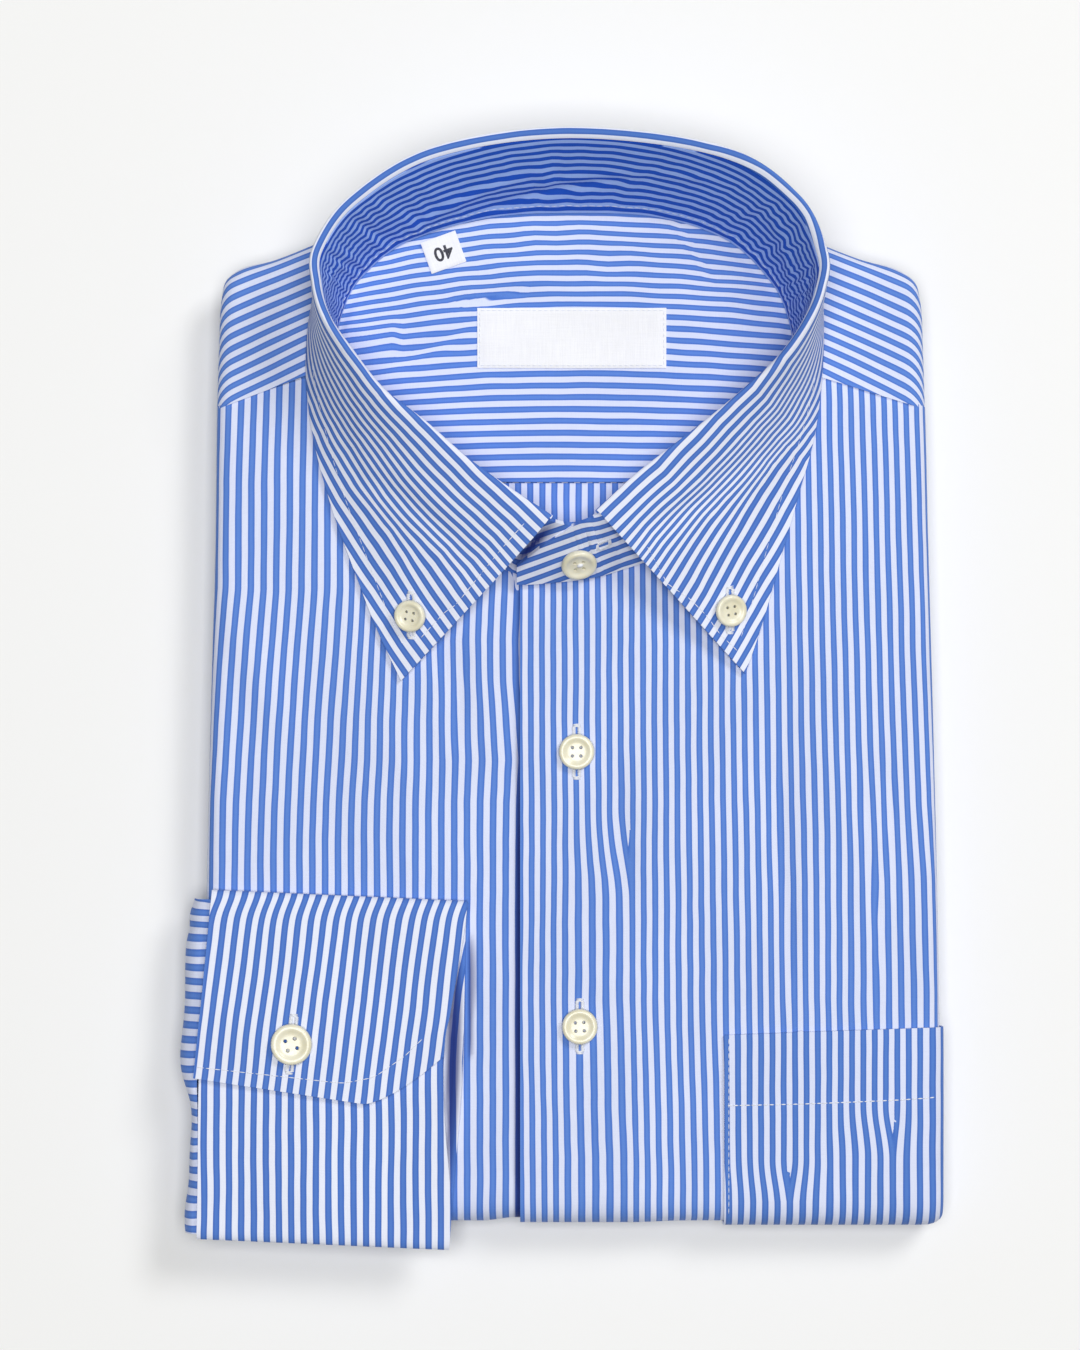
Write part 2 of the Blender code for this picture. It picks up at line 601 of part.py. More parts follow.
def make_collar():
    stand_places = tuple(np.linspace(STAND_STATIONS[0], STAND_STATIONS[-1], 59))
    sheet("collar_stand", stand_point, stand_places, tuple(np.linspace(0, 1, 4)), STAND_WALL, -1)
    leaf_places = tuple(np.linspace(0, COLLAR_STATIONS - 1, 56))
    downs = (0, 0.14, 0.45, 0.75, 1.0, 1.12, 1.28, 1.46, 1.64, 1.82, 2.0)
    sheet("collar_leaf", leaf_point, leaf_places, downs, LEAF_WALL, -1)


def cuff_point(across, along):
    """Outer face of the cuff's loop, from the overlap's free edge round to its hidden end."""
    y, off, left, right = (smooth(CUFF_LAYERS, column, along) for column in (1, 2, 3, 4))
    if along < CUFF_LAYERS[1, 0]:
        corner_start, corner_rise = CUFF_CORNER
        left_y, corner_y = CUFF_FREE_EDGE
        free_y = left_y + (corner_y - left_y) * min(across / corner_start, 1)
        if across > corner_start:
            t = (across - corner_start) / (1 - corner_start)
            free_y += corner_rise * (1 - math.sqrt(max(0.0, 1 - t * t)))
        share = along / CUFF_LAYERS[1, 0]
        y = free_y + (CUFF_LAYERS[1, 1] - free_y) * share
    x = left + (right - left) * across
    y += math.tan(CUFF_TURN) * (x - CUFF_MIDDLE_X)
    return x, y, PACK_HEIGHT + off


def sleeve_point(round_side, up):
    """Outer face of the sleeve: 0..1 between the slabs, 1..2 round the side and up to the cuff."""
    outside_y = SLEEVE_OUTSIDE[0] + (SLEEVE_OUTSIDE[1] - SLEEVE_OUTSIDE[0]) * up
    inside_y = SLEEVE_INSIDE[0] + (SLEEVE_INSIDE[1] - SLEEVE_INSIDE[0]) * up
    exit_x = side_x(SLEEVE_EXIT_Y, -1) - 1.0
    low_z = MID_Z - SLEEVE_DROP
    if round_side <= 1:
        return SLEEVE_END_X + (exit_x - SLEEVE_END_X) * round_side, inside_y, low_z
    t = round_side - 1
    start = np.array((exit_x, low_z))
    end_x = np.interp(outside_y, CUFF_LEFT_END[:, 0], CUFF_LEFT_END[:, 1]) - 2 * SEAM_GAP
    end = np.array((end_x, PACK_HEIGHT + SLEEVE_RISE))
    pull_x = smooth(SLEEVE_BULGE, 1, outside_y) * 4 / 3 - (start[0] + end[0]) / 6
    leave = np.array((pull_x, start[1] - 0.5))
    arrive = np.array((pull_x, end[1] + 0.8))
    x, z = bezier(start, leave, arrive, end, t)
    return x, inside_y + (outside_y - inside_y) * ramp(t, 0.0, 0.45), z


def make_sleeve_end():
    acrosses = (0, 0.12, 0.26, 0.4, 0.55, 0.7, 0.8, 0.88, 0.94, 0.98, 1.0)
    alongs = (0, 0.03, 0.06, 0.1, 0.12, 0.14, 0.17, 0.2, 0.215, 0.23, 0.24, 0.25, 0.26, 0.27, 0.285, 0.3,
              0.37, 0.45, 0.53, 0.6, 0.615, 0.63, 0.64, 0.65, 0.66, 0.67, 0.685, 0.7, 0.77, 0.85, 0.93, 1.0)
    sheet("cuff_right", cuff_point, acrosses, alongs, CUFF_WALL, -1)
    sheet("sleeve_right", sleeve_point, (0, 0.5) + tuple(np.linspace(1, 2, 9)), tuple(np.linspace(0, 1, 13)),
          SLEEVE_WALL, -1)


def make_button(name, diameter, centre, normal):
    """A four-hole button, turned and drilled, with its flat back on the cloth."""
    radius = diameter / 2
    turned = bmesh.new()
    line = [turned.verts.new((share * radius * MM, 0, height * MM)) for share, height in BUTTON_PROFILE]
    for upper, lower in zip(line, line[1:]):
        turned.edges.new((upper, lower))
    button = finish(name, turned, BUTTON_CREAM, 0.3)
    lathe = button.modifiers.new("turned", "SCREW")
    lathe.steps = lathe.render_steps = BUTTON_STEPS
    lathe.use_merge_vertices = True
    lathe.merge_threshold = 0.00001

    holes = bmesh.new()
    for quarter in range(4):
        drilled = bmesh.ops.create_cone(holes, cap_ends=True, segments=6, radius1=HOLE_RADIUS * diameter * MM,
                                        radius2=HOLE_RADIUS * diameter * MM, depth=HOLE_DEPTH * MM)
        angle = math.radians(45 + 90 * quarter)
        reach = HOLE_REACH * diameter * MM
        bmesh.ops.translate(holes, verts=drilled["verts"],
                            vec=(reach * math.cos(angle), reach * math.sin(angle), 0))
    cutter_mesh = bpy.data.meshes.new(name + "_holes")
    holes.to_mesh(cutter_mesh)
    holes.free()
    cutter = bpy.data.objects.new(name + "_holes", cutter_mesh)
    bpy.data.collections["cutters"].objects.link(cutter)
    cutter.hide_render = True
    cutter.display_type = "WIRE"
    cut = button.modifiers.new("holes", "BOOLEAN")
    cut.operation = "DIFFERENCE"
    cut.object = cutter
    facing = Vector(normal).to_track_quat("Z", "Y")
    for obj in (button, cutter):
        obj.rotation_mode = "QUATERNION"
        obj.rotation_quaternion = facing
        obj.location = to_part(centre)


def surface_seat(shape, u, v, step, clear):
    """A place just off a shaped face, and the face's upward normal there."""
    here = np.array(shape(u, v))
    first = np.array(shape(u + step, v)) - here
    second = np.array(shape(u, v + step)) - here
    normal = unit(np.cross(first, second))
    if normal[2] < 0:
        normal = -normal
    return here + normal * clear, normal


def nearest(shape, us, vs, x, y):
    """Parameters at which a shaped face passes over a place in plan."""
    found = min(((shape(u, v), u, v) for u in us for v in vs),
                key=lambda item: (item[0][0] - x) ** 2 + (item[0][1] - y) ** 2)
    return found[1], found[2]


def make_buttons():
    for name, diameter, x, y in BUTTONS:
        make_button(name, diameter, (x, y, PACK_HEIGHT + PLACKET_RISE + SEAM_GAP), (0, 0, 1))
    for name, diameter, x, y, first, last in POINT_BUTTONS:
        u, v = nearest(leaf_point, np.linspace(first, last, 60), np.linspace(1.4, 1.98, 60), x, y)
        seat, normal = surface_seat(leaf_point, u, v, 0.01, 1.7 * SEAM_GAP)
        make_button(name, diameter, seat, normal)
    diameter, x, y = NECK_BUTTON
    last = STAND_STATIONS[-1]
    u, v = nearest(stand_point, np.linspace(last - 4, last - 1, 60), np.linspace(0.1, 0.9, 60), x, y - 1)
    seat, normal = surface_seat(stand_point, u, v, 0.01, STAND_WALL + SEAM_GAP + 0.1)
    make_button("button_neck", diameter, seat, normal)
    diameter, x, y = CUFF_BUTTON
    make_button("button_cuff", diameter, (x, y, PACK_HEIGHT + CUFF_LAYERS[0, 2] + 1.5 * SEAM_GAP), (0, 0, 1))


def make_labels():
    def label(centre_x, centre_y, width, height, turn):
        def shape(u, v):
            along, up = (u - 0.5) * width, (v - 0.5) * height
            x = centre_x + along * math.cos(turn) - up * math.sin(turn)
            y = centre_y + along * math.sin(turn) + up * math.cos(turn)
            return x, y, inside_z(x, y) + SEAM_GAP + LABEL_WALL
        return shape
    sheet("neck_label", label(*NECK_LABEL, 0.0), tuple(np.linspace(0, 1, 7)), (0, 0.5, 1), LABEL_WALL, -1,
          LABEL_WHITE)
    sheet("size_tab", label(*SIZE_TAB, SIZE_TAB_TURN), (0, 0.5, 1), (0, 0.5, 1), LABEL_WALL, -1, LABEL_WHITE)


def hidden_section():
    """Corners of the hidden layers' section: kind, side of the pack, and an angle or a depth."""
    section = [("face", share, 0.0) for share in np.linspace(-0.96, 0.96, 9)]
    for hand, turns in ((1, (90, 45, 0, -45, -90)), (-1, (-90, -45, 0, 45, 90))):
        inner = [("groove", hand, TUCK + GROOVE_DEPTH), ("web", hand, TUCK + WEB_DEPTH),
                 ("web", hand, WEB_INSIDE)]
        lobe = [("lobe", hand, degrees) for degrees in turns]
        section += lobe + inner if hand > 0 else inner[::-1] + lobe
    return section


LAYER_ROWS = (0.0, 0.07, 0.09) + tuple(np.linspace(0.15, 1, 13))


def hidden_point(kind, hand, amount, along):
    """Surface of the hidden layers; along runs as it does on the fronts."""
    fold_reach = FOLD_DEPTH - LAP_DROP - WALL - LAYER_CLEAR
    turn = 0.0 if along <= 1 else math.pi * min(along - 1, 1)
    upper_share = math.cos(turn / 2) ** 2
    if kind == "face":
        x = hand * HAIRPIN_X + HAIRPIN_MIDDLE_X
    else:
        x = side_x(PACK_MIDDLE[1], hand) - hand * EDGE_DEPTH
    end_y = float(np.interp(x, YOKE_OUTLINE[:, 3], YOKE_OUTLINE[:, 4])) - WALL - TOP_CLEAR
    web_start = LAYER_ROWS[1]
    if along > 2:
        y = FOLD_DEPTH + (TAIL_END - TAIL_CLEAR - FOLD_DEPTH) * (along - 2)
    elif along > 1:
        y = FOLD_DEPTH
    elif kind in ("groove", "web") and along > 0:
        y = WEB_END_Y + (FOLD_DEPTH - WEB_END_Y) * (along - web_start) / (1 - web_start)
    else:
        y = end_y + (FOLD_DEPTH - end_y) * along
    if kind != "face":
        x = side_x(y, hand) - hand * EDGE_DEPTH
    if kind == "lobe":
        turned = math.radians(amount)
        x += hand * (EDGE_DEPTH - WALL - LAYER_CLEAR - LOBE_SAG) * math.cos(turned)
        off = EDGE_MIDDLE + (EDGE_HALF - WALL - LAYER_CLEAR) * math.sin(turned)
        reach = TURNED_REACH + (fold_reach - UPPER_SAG - TURNED_REACH) * (1 + math.sin(turned)) / 2
    elif kind == "face":
        upper_off = min(MID_Z - WALL - LAYER_CLEAR - UPPER_SAG,
                        inside_z(x, y) - BACK_DROP - WALL - LAYER_CLEAR - MID_Z)
        lower_off = MID_Z - LAP_DROP - WALL - LAYER_CLEAR
        off = upper_off * upper_share + lower_off * (1 - upper_share)
        reach = fold_reach
    elif kind == "groove" or along <= web_start:
        x -= hand * amount
        off = GROOVE_HALF + WALL + LAYER_CLEAR
        reach = TURNED_REACH - 0.15
    else:
        x -= hand * amount
        off, reach = WEB_HALF, WEB_REACH
    y -= reach * abs(math.sin(turn)) ** FOLD_SQUARENESS
    z = MID_Z + off * signed_power(math.cos(turn), FOLD_SQUARENESS)
    return to_part((x, y, z))


def make_hidden_layers():
    """The back, tails, sleeve lengths and left sleeve, folded inside: one rounded hairpin."""
    section = hidden_section()
    count = len(section)
    layers = bmesh.new()
    rings = [[layers.verts.new(hidden_point(*corner, along)) for corner in section]
             for along in LAYER_ROWS + BOTTOM_ROWS + TAIL_ROWS]
    for upper, lower in zip(rings, rings[1:]):
        for k in range(count):
            layers.faces.new((upper[k], upper[(k + 1) % count], lower[(k + 1) % count], lower[k]))
    for end in (rings[0], rings[-1]):
        cap = layers.faces.new(end)
        bmesh.ops.triangulate(layers, faces=[cap])
    bmesh.ops.recalc_face_normals(layers, faces=layers.faces)
    if layers.calc_volume(signed=True) < 0:
        bmesh.ops.reverse_faces(layers, faces=layers.faces)
    finish("folded_layers", layers, SHIRT_BLUE, 0.75)


def clear_scene():
    for obj in list(bpy.data.objects):
        bpy.data.objects.remove(obj, do_unlink=True)


def main():
    clear_scene()
    for name in ("folded_dress_shirt", "cutters"):
        bpy.context.scene.collection.children.link(bpy.data.collections.new(name))
    make_hidden_layers()
    make_fronts()
    make_pocket()
    make_outer_yoke()
    make_inside_of_neck()
    make_collar()
    make_sleeve_end()
    make_buttons()
    make_labels()


main()
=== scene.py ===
"""The visible cloth, buttons and sewing of a striped dress shirt, buttoned and folded for the shelf.

Shapes are worked out in millimetres: X runs across the chest, Y from the bottom fold up to the collar
and Z up from the table. to_metres puts them in the model's own frame. Each cloth piece is a grid laid
out at the size of its cut and shaped by a function, and its UV map holds the place on the flat cloth,
in metres, so that the woven stripes follow every fold.
"""
import math

import bmesh
import bpy
import numpy as np
from bpy.props import FloatProperty, FloatVectorProperty, PointerProperty
from mathutils import Matrix, Vector


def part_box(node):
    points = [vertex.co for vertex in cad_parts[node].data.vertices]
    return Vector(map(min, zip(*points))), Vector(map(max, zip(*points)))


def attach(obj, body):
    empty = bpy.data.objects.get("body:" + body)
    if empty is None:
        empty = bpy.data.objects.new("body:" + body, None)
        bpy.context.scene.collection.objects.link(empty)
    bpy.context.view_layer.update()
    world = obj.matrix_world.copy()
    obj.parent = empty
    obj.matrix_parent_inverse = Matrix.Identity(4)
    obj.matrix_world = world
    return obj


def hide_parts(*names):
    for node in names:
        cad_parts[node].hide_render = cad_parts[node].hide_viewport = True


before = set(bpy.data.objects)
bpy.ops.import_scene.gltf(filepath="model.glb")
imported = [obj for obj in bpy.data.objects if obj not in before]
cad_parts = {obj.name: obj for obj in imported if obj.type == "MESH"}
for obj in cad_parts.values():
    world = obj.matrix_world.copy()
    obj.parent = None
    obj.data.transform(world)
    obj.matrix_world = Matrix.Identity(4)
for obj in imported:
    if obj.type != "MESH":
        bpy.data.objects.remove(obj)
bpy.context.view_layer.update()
bpy.ops.object.select_all(action="DESELECT")

bl_info = {
    "name": "Folded dress shirt",
    "version": (1, 0, 0),
    "blender": (4, 5, 0),
    "location": "View3D > Sidebar > Shirt",
    "description": "Builds the visible cloth, buttons and sewing of a folded dress shirt",
    "category": "Object",
}

MM = 0.001
SMOOTH_ANGLE = math.radians(50)

# ---------------------------------------------------------------- sizes taken from the model's parts

FRONT_LOW, FRONT_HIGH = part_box("front_left")
REST_POINT_Y = 150.0                                # from the bottom fold up to the model's origin
PACK_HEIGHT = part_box("yoke_outer")[1].z / MM        # both slabs together
MID_Z = PACK_HEIGHT / 2
PLACKET_EDGE = FRONT_LOW.x / MM                     # free edge of the upper front
LAP_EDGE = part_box("front_right")[1].x / MM          # free edge of the front below it
PLACKET_RISE = FRONT_HIGH.z / MM - PACK_HEIGHT

# ---------------------------------------------------------------- form of the pack

WALL = 1.2                  # room that a body panel takes
SEAM_GAP = 0.35             # between a piece and what it is sewn to
FOLD_DEPTH = 10.0           # how far the bottom fold reaches beyond where it starts
FOLD_SQUARENESS = 0.75      # power of its sines: 1 is round, less is squarer
EDGE_DEPTH = 5.0            # how far a side fold reaches beyond where it starts
GROOVE_HALF = 1.8           # half the groove between the two slabs, along the sides
EDGE_MIDDLE = (MID_Z + GROOVE_HALF) / 2     # middle and half height of each slab's rounded side
EDGE_HALF = (MID_Z - GROOVE_HALF) / 2
TUCK = 10.0                 # how far the fronts run inwards between the slabs
TAIL_END = 284.0            # where the fronts end underneath
CORNER_POWER = 0.5          # how the bottom fold draws in round the pack's corners
PLACKET_FADE = (18.0, 34.0)         # X between which the placket's rise dies out
TROUGH_DEPTH, TROUGH_OFF, TROUGH_HALF = 1.15, 0.8, 1.7     # in the lower front, along the placket's edge
SEAM_TUCK = 0.7             # how far a front's upper edge sinks below what it is sewn to
LAP_DROP = WALL + SEAM_GAP
LAP_FADE = (-30.0, -19.5)           # X between which the lower front sinks under the upper one
SHOULDER_SIDE_Y = 259.0             # the fronts' shoulder seams, at the sides and at the neck
SHOULDER_NECK_Y = 272.5
NECKLINE_CLEAR = 0.5                # how far the fronts stop short of the neck seam

SIDES = (
    # height, left side, right side
    (0, -117.4, 115.4), (60, -117.6, 115.4), (110, -117.5, 114.6), (160, -116.3, 113.4),
    (220, -114.8, 111.8), (262, -114.3, 110.8), (294, -113.2, 109.2))

COLLAR_BODY = (
    # seam x, seam y, seam z, crease x, crease y, crease z, edge x, edge y, edge z, lie
    (-12, 205.3, 22, -8.5, 223.2, 42, -55.6, 172.2, 24.2, 1),
    (-31, 212, 22.5, -24.3, 233.6, 43.5, -63.3, 188.6, 24, 1),
    (-47, 222.5, 22.8, -35.6, 241.8, 45.3, -70.8, 208, 24, 0.95),
    (-60, 236, 22.8, -48.3, 252.7, 47.7, -77.9, 228, 24, 0.85),
    (-68.5, 250, 22.8, -61.2, 262.5, 50.5, -83.4, 249, 24, 0.7),
    (-74, 264, 22.8, -71, 274.4, 54, -85.7, 268.2, 24, 0.45),
    (-76, 279, 22.8, -78.4, 284.7, 57, -85.1, 284.5, 24, 0.2),
    (-73.5, 290.5, 22.8, -81.6, 295.4, 58.5, -82.7, 297.2, 24, 0.05),
    (-68, 300, 22.8, -81.3, 306.2, 58.8, -81.2, 306.3, 23, 0),
    (-54, 311, 22.8, -70.5, 321.7, 57.5, -68.6, 319.6, 14, 0),
    (-28, 318.8, 22.8, -44.8, 337.3, 55, -44.2, 335.4, 10.5, 0),
    (-1.5, 320.4, 22.8, -2.2, 343.8, 53, -2.2, 342.4, 9, 0),
    (26, 319, 22.8, 44.8, 337.6, 55, 44.8, 337.8, 10.5, 0),
    (48, 311.5, 22.8, 68.4, 322.1, 57.5, 67.9, 322.3, 14, 0),
    (61.5, 298.5, 22.8, 76.8, 304.3, 58.8, 77.6, 306.1, 23, 0),
    (66.5, 288.5, 22.8, 75.9, 293, 58.5, 78, 296.2, 24, 0.05),
    (68.4, 277, 22.8, 71.3, 282.6, 57, 78.3, 281.2, 24, 0.2),
    (66.5, 263, 22.8, 63.8, 272.5, 54, 77.5, 265.2, 24, 0.45),
    (62, 250, 22.8, 54.2, 263.8, 50.5, 75.1, 248.6, 24, 0.7),
    (54, 237, 22.8, 42.8, 254.4, 47.7, 70.9, 233.1, 24, 0.85),
    (43, 224.5, 22.9, 30.2, 244.8, 45.5, 65.2, 213, 24, 0.95),
    (29.5, 214, 23, 18.5, 235.8, 43.5, 59, 191, 24, 1),
    (12, 207.6, 23.3, 6.7, 225, 42, 53.4, 174.4, 24.2, 1))
LAST_STATION = len(COLLAR_BODY) - 1

STAND_UNDER_END = (
    # seam x, seam y, seam z, top x, top y, top z
    (17, 210.2, 21.6, 15.5, 227, 35.6), (2, 206.8, 21.6, 3, 222.6, 35.8))
STAND_TAB_END = (
    # seam x, seam y, seam z, top x, top y, top z
    (3, 205.4, 23.4, -1.5, 221.4, 38.6), (-7, 204.2, 23.6, -8.5, 217, 35.4),
    (-14.5, 203.6, 23.7, -14.5, 212.6, 31.6), (-19, 203.5, 23.8, -19, 209, 28.6))
COLLAR_RESTS_ON = ("cloth_front_left", "cloth_front_right", "cloth_yoke_outer")
STAND_WALL = 1.5
LEAF_WALL = 1.3
ROLL_HALF = 2.1             # from the crease in to the stand's top, where the leaf rolls over it
ROLL_RISE = 2.6             # from the stand's top up to the crease
ROLL_START = 1.6            # how far the roll carries on in its first direction
LEAF_SWELL = (1.6, 5.4)     # how full the leaf is beyond the crease, and how much more where it lies
LEAF_RUN_OUT = 14.0         # how flat it runs out to its edge where it lies
LEAF_HANG = 16.0            # how straight it hangs where it stands
LEAF_LIFT = 1.5
LEAF_LENGTHENED = 1.12      # cut length along the leaf for each millimetre of its crease

STAND_GATHERS = (
    # stations from and to, how deep the gathers are there
    (3, 6.5, 0.26), (5.2, 10.2, 0.48), (9.6, 12.6, 0.2), (12, 17.2, 0.52), (16.4, 19, 0.26),
    (20.5, 23.6, 0.3))
STAND_SLANTS = (
    # long slanting creases: along from, up from, along to, up to, half width, height
    (9, 0.1, 11, 0.62, 0.07, 0.8), (9.7, 0.02, 12, 0.66, 0.07, -0.9), (10.3, 0.3, 12.4, 0.74, 0.06, 0.6),
    (6.6, 0.85, 8.8, 0.35, 0.09, 0.5), (12.6, 0.8, 14.8, 0.2, 0.09, 0.6),
    (13.6, 0.95, 15.8, 0.45, 0.08, -0.6))
STAND_RELIEF = 0.9          # how much of the gathers' height shows in the form
STAND_STRIPE_RELIEF = 1.1   # and how far they draw the stripes

BACK_SEAM_Y = 235.0         # between the inner yoke and the back
INSIDE_Z = 22.3             # level inside the neck, and how deep it is dished round its centre
DISH_DEPTH = 4.0
NECK_CENTRE = (-3.0, 262.0)
NECK_REACH = (72.0, 58.0)
INNER_YOKE_SIDE_Y = 250.0   # where the inner yoke's front corners meet the neck seam
BACK_FRONT_Y = 228.0        # and where the back's do
BACK_FRONT_CLEAR = 3.0
BACK_DROP = 1.0             # how far the back lies below the inner yoke
INSIDE_CREASES = (
    # inner yoke: from x, from y, to x, to y, bow, half width, height, pull
    (-66, 270, -30, 288, 2, 2.6, -0.7, -0.9), (-58, 262, -40, 276, -1, 3, 0.5, 0),
    (-42, 292.3, -15, 296.2, 1, 1.9, -0.5, 1.9), (-34, 304, 8, 300, 2, 6, 0.6, 0.5),
    (-6, 304, 30, 300, -2, 5, -0.5, 0.4), (20, 290, 62, 282, 1, 6, 0.5, 0.3),
    (-50, 250, -10, 246, 1, 7, 0.3, 0))

PACK_MIDDLE = (-2.5, 200.0)
YOKE_OUTLINE = (
    # round (-1 left shoulder seam, 0 centre back), neck x, neck y, edge x, edge y, turned in
    (-1, -78, 271.9, -114.3, 258.2, 10), (-0.84, -78.3, 280, -113.7, 277, 10),
    (-0.72, -77, 287, -112.9, 293, 12), (-0.66, -75.8, 290.5, -111.6, 299, 14),
    (-0.6, -74, 294.5, -107.6, 302.6, 18), (-0.48, -69.5, 301.5, -95, 306.2, 24),
    (-0.38, -62.5, 308, -82, 311.5, 28), (-0.24, -45, 317, -56, 323.5, 34),
    (-0.12, -24, 321.8, -29, 330, 38), (0, -1.5, 323, -2.5, 331.5, 40), (0.12, 22, 321.9, 25, 330, 38),
    (0.24, 40, 318, 51, 323.5, 34), (0.38, 56.5, 307.5, 76.5, 311.5, 28), (0.48, 63.2, 300, 90, 306.2, 24),
    (0.6, 67.5, 293, 102.6, 302.6, 18), (0.66, 69.2, 289, 107.6, 299, 14),
    (0.72, 70.3, 285, 109.3, 293, 12), (0.84, 70.9, 278, 110.2, 277, 10),
    (1, 69.8, 270.8, 110.8, 258.2, 10))

YOKE_SINK = 0.1             # how far the outer yoke's relief is lowered, and how far its seams rise
YOKE_SEAM_RISE = 0.12

POCKET_EDGE = 46.8          # X of its sewn edge, height of its mouth there, and the mouth's slope
POCKET_TOP = 60.0
POCKET_TOP_SLOPE = 0.035
POCKET_WALL = 1.0
POCKET_SEWN = 6.0           # how far from its sewn edge the pocket lies flat

CUFF_WALL = 1.5
CUFF_TURN = math.radians(-2.5)
CUFF_MIDDLE_X = -78.0
CUFF_LAYERS = (
    # along the loop, height above the bottom fold, height off the front, left end, right end
    (0, 42, 6.1, -121.1, -42), (0.1, 67, 6.1, -118.8, -40.2), (0.14, 80, 5.2, -117.6, -38),
    (0.2, 99, 4.7, -115.8, -35), (0.23, 103.2, 4, -115.4, -34.6), (0.25, 104.4, 2.4, -115.4, -34.6),
    (0.27, 103.2, 1.1, -115.4, -34.7), (0.3, 99, 0.55, -115.8, -35), (0.45, 50, 0.5, -119.5, -36.2),
    (0.6, 2, 0.55, -120, -39.8), (0.63, -4.6, 1, -120.2, -40.2), (0.65, -6.4, 2.2, -120.2, -40.4),
    (0.67, -4.6, 3.6, -120.2, -40.2), (0.7, 2, 4.1, -120, -39.8), (0.85, 36, 4.1, -119.6, -41.8),
    (1, 67, 4.1, -118.8, -42.6))
CUFF_OVERLAP_END = 0.10     # along the loop, where the overlap's shaped edge stops counting
CUFF_FREE_EDGE = (44.8, 39.0)       # height of the overlap's edge at the left and where its corner starts
CUFF_CORNER = (0.68, 16.2)          # share of the width where the corner starts, and how far it rises
CUFF_CORNER_POWER = 1.45

SLEEVE_WALL = 2.0
SLEEVE_BULGE = (
    # height above the bottom fold, how far left the sleeve reaches
    (-4, -124.4), (9, -124), (25, -122.4), (38, -123), (49, -125.4), (64, -125.2), (80, -124.3),
    (96, -123.1), (104, -121.9))
SLEEVE_END_X = -106.0               # where it ends between the slabs
SLEEVE_INSIDE = (9.0, 101.0)        # heights of its two edges between the slabs, and outside them
SLEEVE_OUTSIDE = (-3.0, 103.0)
SLEEVE_EXIT_Y = 50.0                # where the pack's side is taken for the way out
SLEEVE_DROP = 1.1                   # from the pack's middle down to the sleeve's face there
SLEEVE_RISE = 2.4                   # from the pack's top up to its end at the cuff
SLEEVE_TUCK = 0.9                   # how far the sleeve's end runs in between the cuff's layers
SLEEVE_RIPPLE, SLEEVE_PUCKER = 0.35, 0.45       # ripples round the side, puckers at its upper edge
CUFF_LEFT_END = (
    # height above the bottom fold, leftmost X of the cuff's layers
    (-4, -120.2), (45, -121.1), (105, -115.4))

SOFT_FOLDS = (
    # from x, from y, to x, to y, half width, height
    (-112, 203, -92, 150, 9, 0.9), (-41, 196, -38, 150, 7, -0.9), (-66, 172, -44, 120, 12, 0.5),
    (15, 140, 14, 96, 7, -0.8), (66, 144, 64, 76, 8, -0.9), (94, 136, 92, 74, 8, 0.7))

BUTTON_HOLE = 0.048                 # radius of a thread hole, share of the diameter
BUTTON_HOLE_REACH = 0.165           # from the middle, share of the diameter
BUTTON_BEVEL = 0.00009              # in metres
BUTTON_PROFILE = (
    # share of the radius, height above the cloth
    (0.7, 0), (0.86, 0.15), (0.96, 0.6), (1, 1.2), (0.995, 1.7), (0.97, 2.1), (0.93, 2.38), (0.87, 2.52),
    (0.8, 2.56), (0.73, 2.48), (0.66, 2.28), (0.59, 2.08), (0.5, 1.98), (0.38, 1.94), (0.2, 1.93))
BUTTONS = (
    # node, turn of its holes
    ("button_front_1", 0), ("button_front_2", 3), ("button_collar_left", -10), ("button_collar_right", 8),
    ("button_neck", 4), ("button_cuff", 15))
KNOTTED_BUTTON = "button_neck"
KNOT_RISE = 0.25
NECK_LABEL = (-1.5, 281.0, 60.0, 19.0, 0.0)         # middle x, middle y, width, height, turn
SIZE_TAB = (-42.2, 308.0, 11.7, 10.4, math.radians(20))
SIZE_WORDS = "40"
LABEL_RISE = 0.75
LABEL_RIM_DROP = 0.25
LABEL_THICKNESS = 0.4
LABEL_STITCH_INSET, LABEL_STITCH_STEP = 0.8, 1.8

STITCH_SHARE = 0.92         # length of a stitch, share of the way from stitch to stitch
STITCH_RISE = 0.07
SEAMS = (
    # name, cloth, from stitch to stitch, width, height, line in plan (worked out from the cloth if empty)
    ("seam_leaf_front_left", "cloth_collar_leaf", 2.6, 0.28, 0.17,
     ((-16.4, 221.6), (-23.6, 213.6), (-31.6, 204.0), (-38.0, 196.2), (-41.5, 194.0), (-49.4, 185.6))),
    ("seam_leaf_front_right", "cloth_collar_leaf", 2.6, 0.28, 0.17,
     ((22.0, 214.4), (28.5, 202.5), (35.0, 198.5), (40.5, 193.2), (45.5, 186.6), (51.0, 181.5))),
    ("seam_leaf_edge", "cloth_collar_leaf", 2.6, 0.20, 0.11, ()),
    ("seam_cuff_edge", "cloth_cuff_right", 2.6, 0.32, 0.20,
     ((-120.0, 50.2), (-93.5, 47.3), (-73.8, 45.1), (-64.0, 47.0), (-54.4, 53.6), (-48.7, 59.2))),
    ("seam_pocket_hem", "cloth_pocket", 1.9, 0.46, 0.32,
     ((47.6, 37.6), (70.6, 38.1), (86.5, 38.7), (102.4, 39.4), (113.5, 40.2))),
    ("seam_pocket_edge", "cloth_pocket", 2.2, 0.26, 0.16, ((48.2, 59.0), (48.2, 30.0), (48.2, 3.0))),
    ("seam_stand", "cloth_collar_stand", 2.4, 0.22, 0.13, ()))
BUTTONHOLE_HALF, BUTTONHOLE_STEP = 0.88, 0.36       # from the slit out to its bars, and from bar to bar
BUTTONHOLE_RISE, BUTTONHOLE_UNEVEN = 0.10, 0.06
